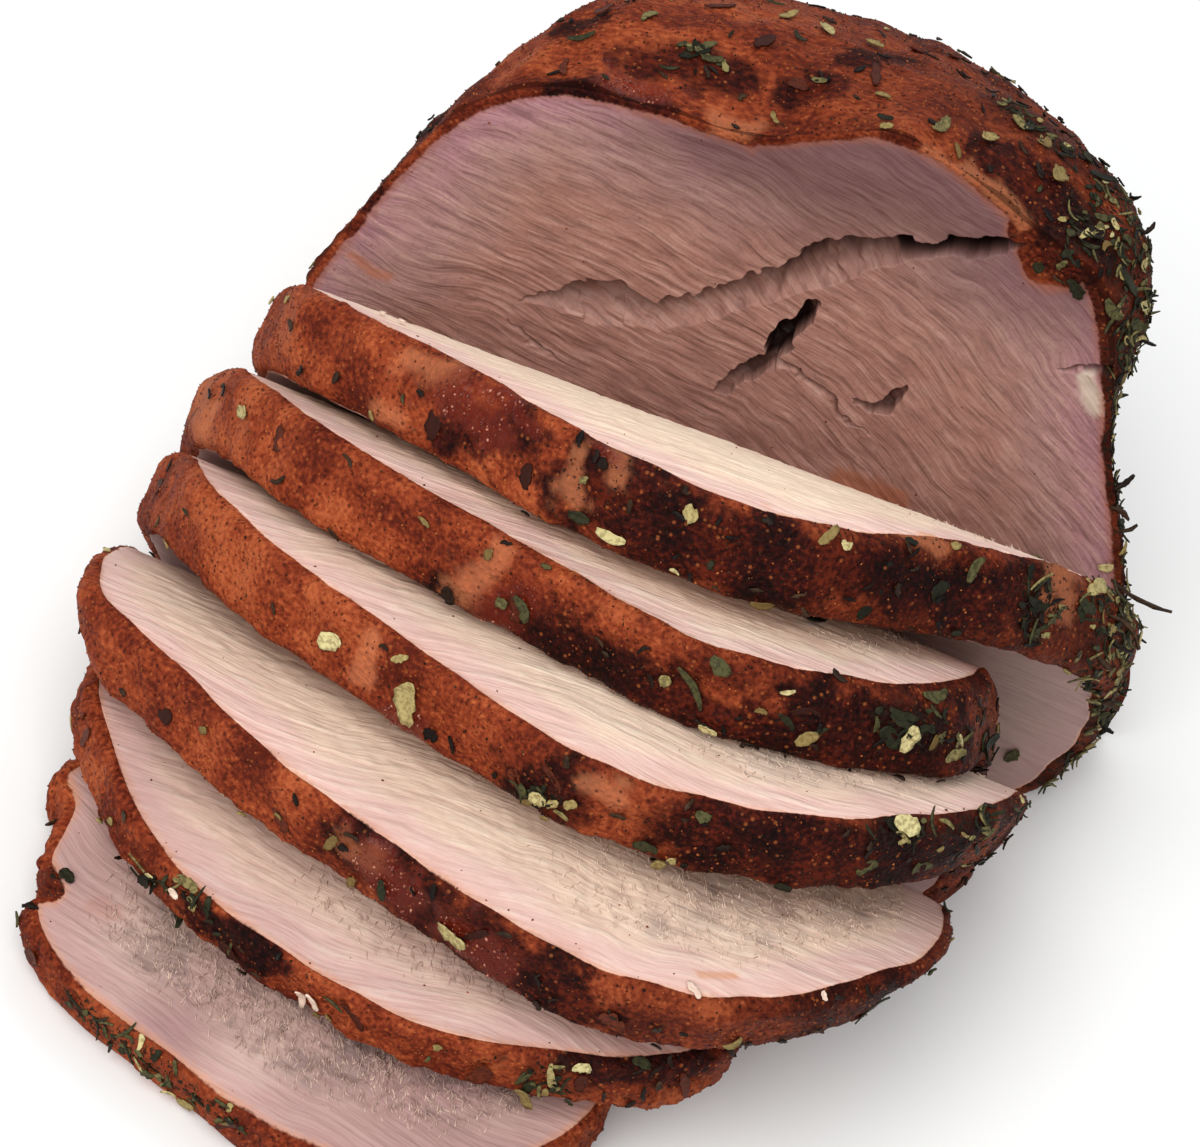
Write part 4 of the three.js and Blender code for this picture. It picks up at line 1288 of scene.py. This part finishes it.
def tangents(normals, rng):
    """A random direction along the surface for each direction out of it."""
    draw = rng.normal(size=normals.shape)
    along = draw - (draw * normals).sum(1, keepdims=True) * normals
    return along / np.linalg.norm(along, axis=1, keepdims=True)


def combed(normals, towards, spread, rng):
    """Directions along the surface that are near the given one."""
    ahead = towards - (normals @ towards)[:, None] * normals
    ahead = ahead / np.linalg.norm(ahead, axis=1, keepdims=True)
    angle = rng.normal(size=(len(normals), 1)) * spread
    return ahead * np.cos(angle) + np.cross(normals, ahead) * np.sin(angle)


def join_copies(name, at, axes, shapes, faces, tone):
    """One mesh of many copies: shapes holds each copy's own points, along its own axes."""
    copies, count = shapes.shape[:2]
    along, across, out = axes
    points = (
        at[:, None]
        + shapes[..., :1] * along[:, None]
        + shapes[..., 1:2] * across[:, None]
        + shapes[..., 2:] * out[:, None]
    )
    every = (faces[None] + (np.arange(copies) * count)[:, None, None]).reshape(-1, faces.shape[1])
    mesh = bpy.data.meshes.new(name)
    mesh.from_pydata(points.reshape(-1, 3).tolist(), [], every.tolist())
    set_fields(mesh, tone=np.repeat(tone, count))
    return mesh


def sheet_template(rows, columns):
    """Places t along and s across a thin closed sheet, the side of each, and its faces."""
    t, s = np.meshgrid(np.linspace(0, 1, rows), np.linspace(-1, 1, columns), indexing="ij")
    count = rows * columns
    corner = np.arange(count).reshape(rows, columns)
    quads = [corner[:-1, :-1], corner[1:, :-1], corner[1:, 1:], corner[:-1, 1:]]
    quads = np.stack(quads, -1).reshape(-1, 4)
    around = np.concatenate([corner[0, :-1], corner[:-1, -1], corner[-1, :0:-1], corner[:0:-1, 0]])
    after = np.roll(around, -1)
    walls = np.stack([after, around, around + count, after + count], 1)
    faces = np.vstack([quads[:, ::-1], quads + count, walls])
    side = np.repeat([0.0, 1.0], count)
    return np.tile(t.ravel(), 2), np.tile(s.ravel(), 2), side, faces


def sheets(
    name, at, normals, along, length, width, rng, rows=7, columns=3, ends=0.6, ragged=0.1,
    curl=(-0.05, 0.15), sway=0.08, cup=(0.1, 0.4), lift=0.15, thickness=0.18,
):
    """Many thin curved sheets, such as needles and flakes of leaf."""
    t, s, side, faces = sheet_template(rows, columns)
    count = len(at)
    profile = np.sin(math.pi * (0.04 + 0.92 * t)) ** ends
    row = np.round(t * (rows - 1)).astype(int)
    uneven = rng.normal(size=(count, rows, 2)) * ragged
    edge = np.where(s[None] > 0, uneven[:, row, 0], uneven[:, row, 1])
    half = width[:, None] / 2 * profile[None] * (1 + edge)
    curls = rng.uniform(*curl, count)[:, None]
    sways = rng.normal(size=(count, 1)) * sway
    cups = rng.uniform(*cup, count)[:, None]
    x = (t - 0.5) * length[:, None]
    y = s * half + sways * length[:, None] * (2 * t - 1) ** 2
    arch = curls * length[:, None] * (2 * t - 1) ** 2
    z = lift + arch + cups * np.abs(half) * s**2 + side * thickness
    shapes = np.stack([x, y, z], 2)
    axes = (along, np.cross(normals, along), normals)
    return join_copies(name, at, axes, shapes, faces, rng.random(count))


def grains(name, at, normals, radius, rng):
    """Many small uneven lumps, half sunk into the crust."""
    ends = np.vstack([np.eye(3), -np.eye(3)])
    above = [[0, 1, 2], [1, 3, 2], [3, 4, 2], [4, 0, 2]]
    below = [[1, 0, 5], [3, 1, 5], [4, 3, 5], [0, 4, 5]]
    faces, count = np.array(above + below), len(at)
    shapes = ends[None] * (1 + 0.3 * rng.uniform(-1, 1, (count, len(ends), 1)))
    shapes = shapes * radius[:, None, None] * rng.uniform(0.6, 1.3, (count, 1, 3))
    along = tangents(normals, rng)
    axes = (along, np.cross(normals, along), normals)
    return join_copies(name, at, axes, shapes, faces, rng.random(count))


def marked_flakes(name, tree, flakes, rng):
    """The herb flakes that stand out in the photo, each between two pixels."""
    at, normals, along, length, width = [], [], [], [], []
    for x0, y0, x1, y1, wide in flakes:
        start, _ = seen(tree, (x0, y0))
        end, _ = seen(tree, (x1, y1))
        middle, out = seen(tree, ((x0 + x1) / 2, (y0 + y1) / 2))
        if start is None or end is None or middle is None:
            continue
        ahead = end - start
        ahead = ahead - (ahead @ out) * out
        at.append(middle)
        normals.append(out)
        along.append(ahead / np.linalg.norm(ahead))
        shown = math.hypot(x1 - x0, y1 - y0) * MM_PER_PIXEL
        length.append(min(np.linalg.norm(ahead), LONGEST_FLAKE * shown))
        width.append(wide)
    arrays = (np.array(values) for values in (at, normals, along, length, width))
    return sheets(name, *arrays, rng, **MARKED_FORM)


def seeded_random(seed):
    """Even draws between 0 and 1, as the solids draw them."""
    state = seed

    def draw():
        nonlocal state
        state = state * 16807 % 2147483647
        return state / 2147483647

    return draw


def solid_flakes(point_at, count, seed, rounds, across, at, yaw):
    """The places of the larger flakes that the solids carry, by the solids' own rule."""
    draw = seeded_random(seed)
    rows = []
    for i in range(count):
        share = ((i + draw()) / count) ** FLAKES_TO_THE_RIGHT
        around = rounds[0] + (rounds[1] - rounds[0]) * share
        over = across[0] + (across[1] - across[0]) * draw()
        origin = point_at(around, over)
        ahead = point_at(around + 0.004, over) - origin
        aside = point_at(around, over + 0.5) - origin
        normal = Vector(np.cross(aside, ahead)).normalized()
        size = 0.8 + 0.4 * draw()
        spin = math.pi * draw()
        turn = Vector((0, 0, 1)).rotation_difference(normal)
        along = turn @ Vector((math.cos(spin), math.sin(spin), 0))
        length, width = NEEDLE if i % 3 == 0 else LEAF
        rows.append([*origin, *normal, *along, length * size, width * size, i % 3 == 0])
    rows = np.array(rows, float)
    origin = placed(rows[:, :3], at, yaw)
    turned = [placed(rows[:, i : i + 3], (-CENTRE_SHIFT[0], -CENTRE_SHIFT[1]), yaw) for i in (3, 6)]
    return np.hstack([origin, *turned, rows[:, 9:]])


def all_solid_flakes():
    face, body = closed_outline(BLOCK_OUTLINE, 4000), closed_outline(BODY_OUTLINE, 4000)

    def on_block(around, depth):
        place = int(around * len(face)) % len(face)
        spot = block_outline(face[place], body[place], depth)[None]
        return block_points(spot, 1, depth)[0]

    rows = [solid_flakes(on_block, *BLOCK_FLAKES, BLOCK_AT, BLOCK_YAW)]
    for i, piece in enumerate(SLICES):
        outline = closed_outline(piece["outline"], 4000)

        def on_slice(around, out, piece=piece, outline=outline, seed=i + FIRST_SEED):
            spot = outline[int(around * len(outline)) % len(outline)][None]
            plane = slice_plane(piece, spot, 1, out, seed)
            return slice_points(piece, plane[:, 0], plane[:, 1], out)[0]

        count, seed, rounds, share = SLICE_FLAKES
        across = (-share * piece["thick"], share * piece["thick"])
        place = (piece["x"], piece["y"])
        rows.append(solid_flakes(on_slice, count, seed + i, rounds, across, place, piece["yaw"]))
    rows = np.vstack(rows)
    return rows[rows[:, 2] > LOWEST_LARGE_FLAKE]


def tilted(normals, along, low, high, rng):
    """Directions out and along, tipped up from the surface by an angle between low and high."""
    angle = np.radians(rng.uniform(low, high, len(normals)))[:, None]
    raised = along * np.cos(angle) + normals * np.sin(angle)
    return normals * np.cos(angle) - along * np.sin(angle), raised


def add_scattered(meshes, rng, name, count, weigh, length, width, material, **form):
    """Thin sheets over the skins, closer together where weigh is more."""
    at, normals = surface_samples(meshes, count, rng, weigh)
    along = tangents(normals, rng)
    if "comb" in form:
        along = combed(normals, np.array(form.pop("comb")), COMB_SPREAD, rng)
    if "raised" in form:
        normals, along = tilted(normals, along, *form.pop("raised"), rng)
    slot = form.pop("slot", "block_crust")
    sizes = rng.uniform(*length, count), rng.uniform(*width, count)
    make_object(sheets(name, at, normals, along, *sizes, rng, **form), material, slot)


def wet_weight(mesh):
    return (values_of(mesh, "wet") > 0.5) * on_crust(mesh)


def herb_weight(mesh):
    return (values_of(mesh, "herb") ** 1.8 + 0.004) * on_crust(mesh)


def sparse_weight(mesh):
    return (values_of(mesh, "herb") + 0.05) * on_crust(mesh)


def even_weight(mesh):
    bare = 0.9 * np.maximum(values_of(mesh, "wet"), values_of(mesh, "pale"))
    return (1 - np.maximum(bare, 0.6 * values_of(mesh, "dark"))) * on_crust(mesh)


def dark_weight(mesh):
    return (0.12 + values_of(mesh, "dark")) * (1 - 0.9 * values_of(mesh, "wet")) * on_crust(mesh)


def torn_weight(mesh):
    return values_of(mesh, "torn") * (values_of(mesh, "under") < 0.4)


# Torn fibres on meat dimmed by painted shade, which take the shaded copy of the shreds' colours
def shaded_torn_weight(mesh):
    return values_of(mesh, "torn") * (values_of(mesh, "under") >= 0.4)


def crumb_weight(mesh):
    """Crumbs of crust that have fallen on the cut faces, most of them near the crust."""
    rim = values_of(mesh, "rim")
    return (rim > 0.8) * (values_of(mesh, "under") < 0.99) * (0.1 + smooth(rim, 4.0, 1.0))


# Forms of the thin sheets, where they aren't the usual ones
NEEDLE_FORM = {"curl": (-0.05, 0.25), "raised": (-5, 25)}
LEAF_FORM = {"rows": 5, "columns": 4, "ragged": 0.25, "ends": 0.4}
FIBRE_FORM = {
    "rows": 3, "columns": 2, "thickness": 0.08, "lift": -0.05, "raised": (0, 28), "comb": COMB,
    "slot": "sliced_meat",
}
LARGE_FORM = {"rows": 8, "columns": 5, "ragged": 0.2, "lift": 0.15, "ends": 0.45, "cup": (0.0, 0.2)}
MARKED_FORM = {"rows": 8, "columns": 5, "ragged": 0.16, "lift": 0.25, "ends": 0.45}
TWIG_FORM = {
    "rows": 9, "thickness": 0.5, "ragged": 0.3, "curl": (-0.1, 0.1), "cup": (0.0, 0.3), "lift": -0.2,
}
# What is scattered: number, weights, lengths and widths in mm, look and form. Grains have radii.
SCATTERED = [
    ("herb_needles", 460, herb_weight, (0.9, 3.4), (0.25, 0.6), "herb_green", NEEDLE_FORM),
    ("herb_leaves", 300, herb_weight, (0.6, 1.9), (0.4, 1.0), "herb_green", LEAF_FORM),
    ("straw_flakes", 170, sparse_weight, (0.8, 2.0), (0.4, 1.0), "herb_straw", LEAF_FORM),
    ("dark_flakes", 520, dark_weight, (0.8, 2.2), (0.3, 0.8), "herb_dark", {"ragged": 0.25}),
    ("torn_fibres", 5000, torn_weight, (0.6, 1.8), (0.06, 0.14), "shred", FIBRE_FORM),
    # Torn fibres in painted shade, on the dimmer meat
    ("shaded_torn_fibres", 6000, shaded_torn_weight, (0.6, 1.8), (0.06, 0.14), "shaded_fibre_end", FIBRE_FORM),
]
MARKED = [
    ("marked_green_flakes", GREEN_FLAKES, "herb_green"), ("marked_straw_flakes", STRAW_FLAKES, "herb_straw"),
    ("marked_dark_flakes", DARK_FLAKES, "herb_dark"), ("meat_shreds", SHREDS, "shred"),
]
GRAINS = [
    ("spice_grains", 22000, even_weight, (0.07, 0.19), "spice"),
    ("dark_grains", 9000, dark_weight, (0.07, 0.2), "herb_dark"),
    ("meat_crumbs", 300, crumb_weight, (0.07, 0.2), "spice"),
    # Grease beads on the wet parts, the palest painted as glints
    ("grease_and_glint_beads", 320, wet_weight, (0.1, 0.3), "grease_and_glint"),
]


def add_solid_flakes(rng, materials):
    """The larger flakes that the solids carry: green at the right, and crusted over elsewhere."""
    rows = all_solid_flakes()
    needle, right = rows[:, 11] > 0.5, rows[:, 0] > GREEN_FROM
    for name, chosen, look in (
        ("large_needles", needle & right, "herb_green"),
        ("large_leaves", ~needle & right, "herb_green"),
        ("coated_flakes", ~right, "coated_flake"),
    ):
        at, normals, along, sizes = np.split(rows[chosen, :11], [3, 6, 9], axis=1)
        mesh = sheets(name, at, normals, along, *(sizes * SHOWN_SHARE).T, rng, **LARGE_FORM)
        make_object(mesh, materials[look], "block_crust")


def add_herbs(meshes, tree):
    """All that lies on the skins. One generator makes the draws for all of it, in this order."""
    materials = {name: loose_material(name) for name in LOOSE_LOOKS}
    rng = np.random.default_rng(7)
    for name, count, weigh, length, width, look, form in SCATTERED:
        add_scattered(meshes, rng, name, count, weigh, length, width, materials[look], **form)
    add_solid_flakes(rng, materials)
    for name, flakes, look in MARKED:
        make_object(marked_flakes(name, tree, flakes, rng), materials[look], "block_crust")
    make_object(twig_mesh(tree, rng), materials["herb_dark"], "block_crust")
    for name, count, weigh, radius, look in GRAINS:
        at, normals = surface_samples(meshes, count, rng, weigh)
        mesh = grains(name, at, normals, rng.uniform(*radius, count), rng)
        make_object(mesh, materials[look], "block_crust")


def twig_mesh(tree, rng):
    """Stiff bits of herb that stand out from the right-hand edge."""
    right, up, _ = camera_axes()
    at, normals, along, length = [], [], [], []
    for pixel, aside, above in TWIGS:
        place, normal = seen(tree, pixel)
        if place is None:
            continue
        step = aside * right + above * up
        at.append(place + step / 2)
        along.append(step / np.linalg.norm(step))
        out = normal - (normal @ along[-1]) * along[-1]
        normals.append(out / np.linalg.norm(out))
        length.append(np.linalg.norm(step) * 1.15)
    at, normals, along, length = (np.array(values) for values in (at, normals, along, length))
    width = rng.uniform(*TWIG_WIDTHS, len(at))
    return sheets("twigs", at, normals, along, length, width, rng, **TWIG_FORM)


def build_roast():
    meshes = [block_mesh()] + [slice_mesh(piece, i + FIRST_SEED) for i, piece in enumerate(SLICES)]
    tree = skin_tree(meshes)
    dress(meshes, tree)
    add_herbs(meshes, tree)
    block_look = roast_material("block_crust_and_meat", BLOCK_MEAT), "block_crust"
    slice_look = roast_material("slice_crust_and_meat", SLICED_MEAT), "sliced_meat"
    for mesh in meshes:
        piece = make_object(mesh, *(block_look if is_block(mesh) else slice_look))
        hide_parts(mesh.name.removesuffix("_skin"))


add_camera()
add_stage()
build_roast()
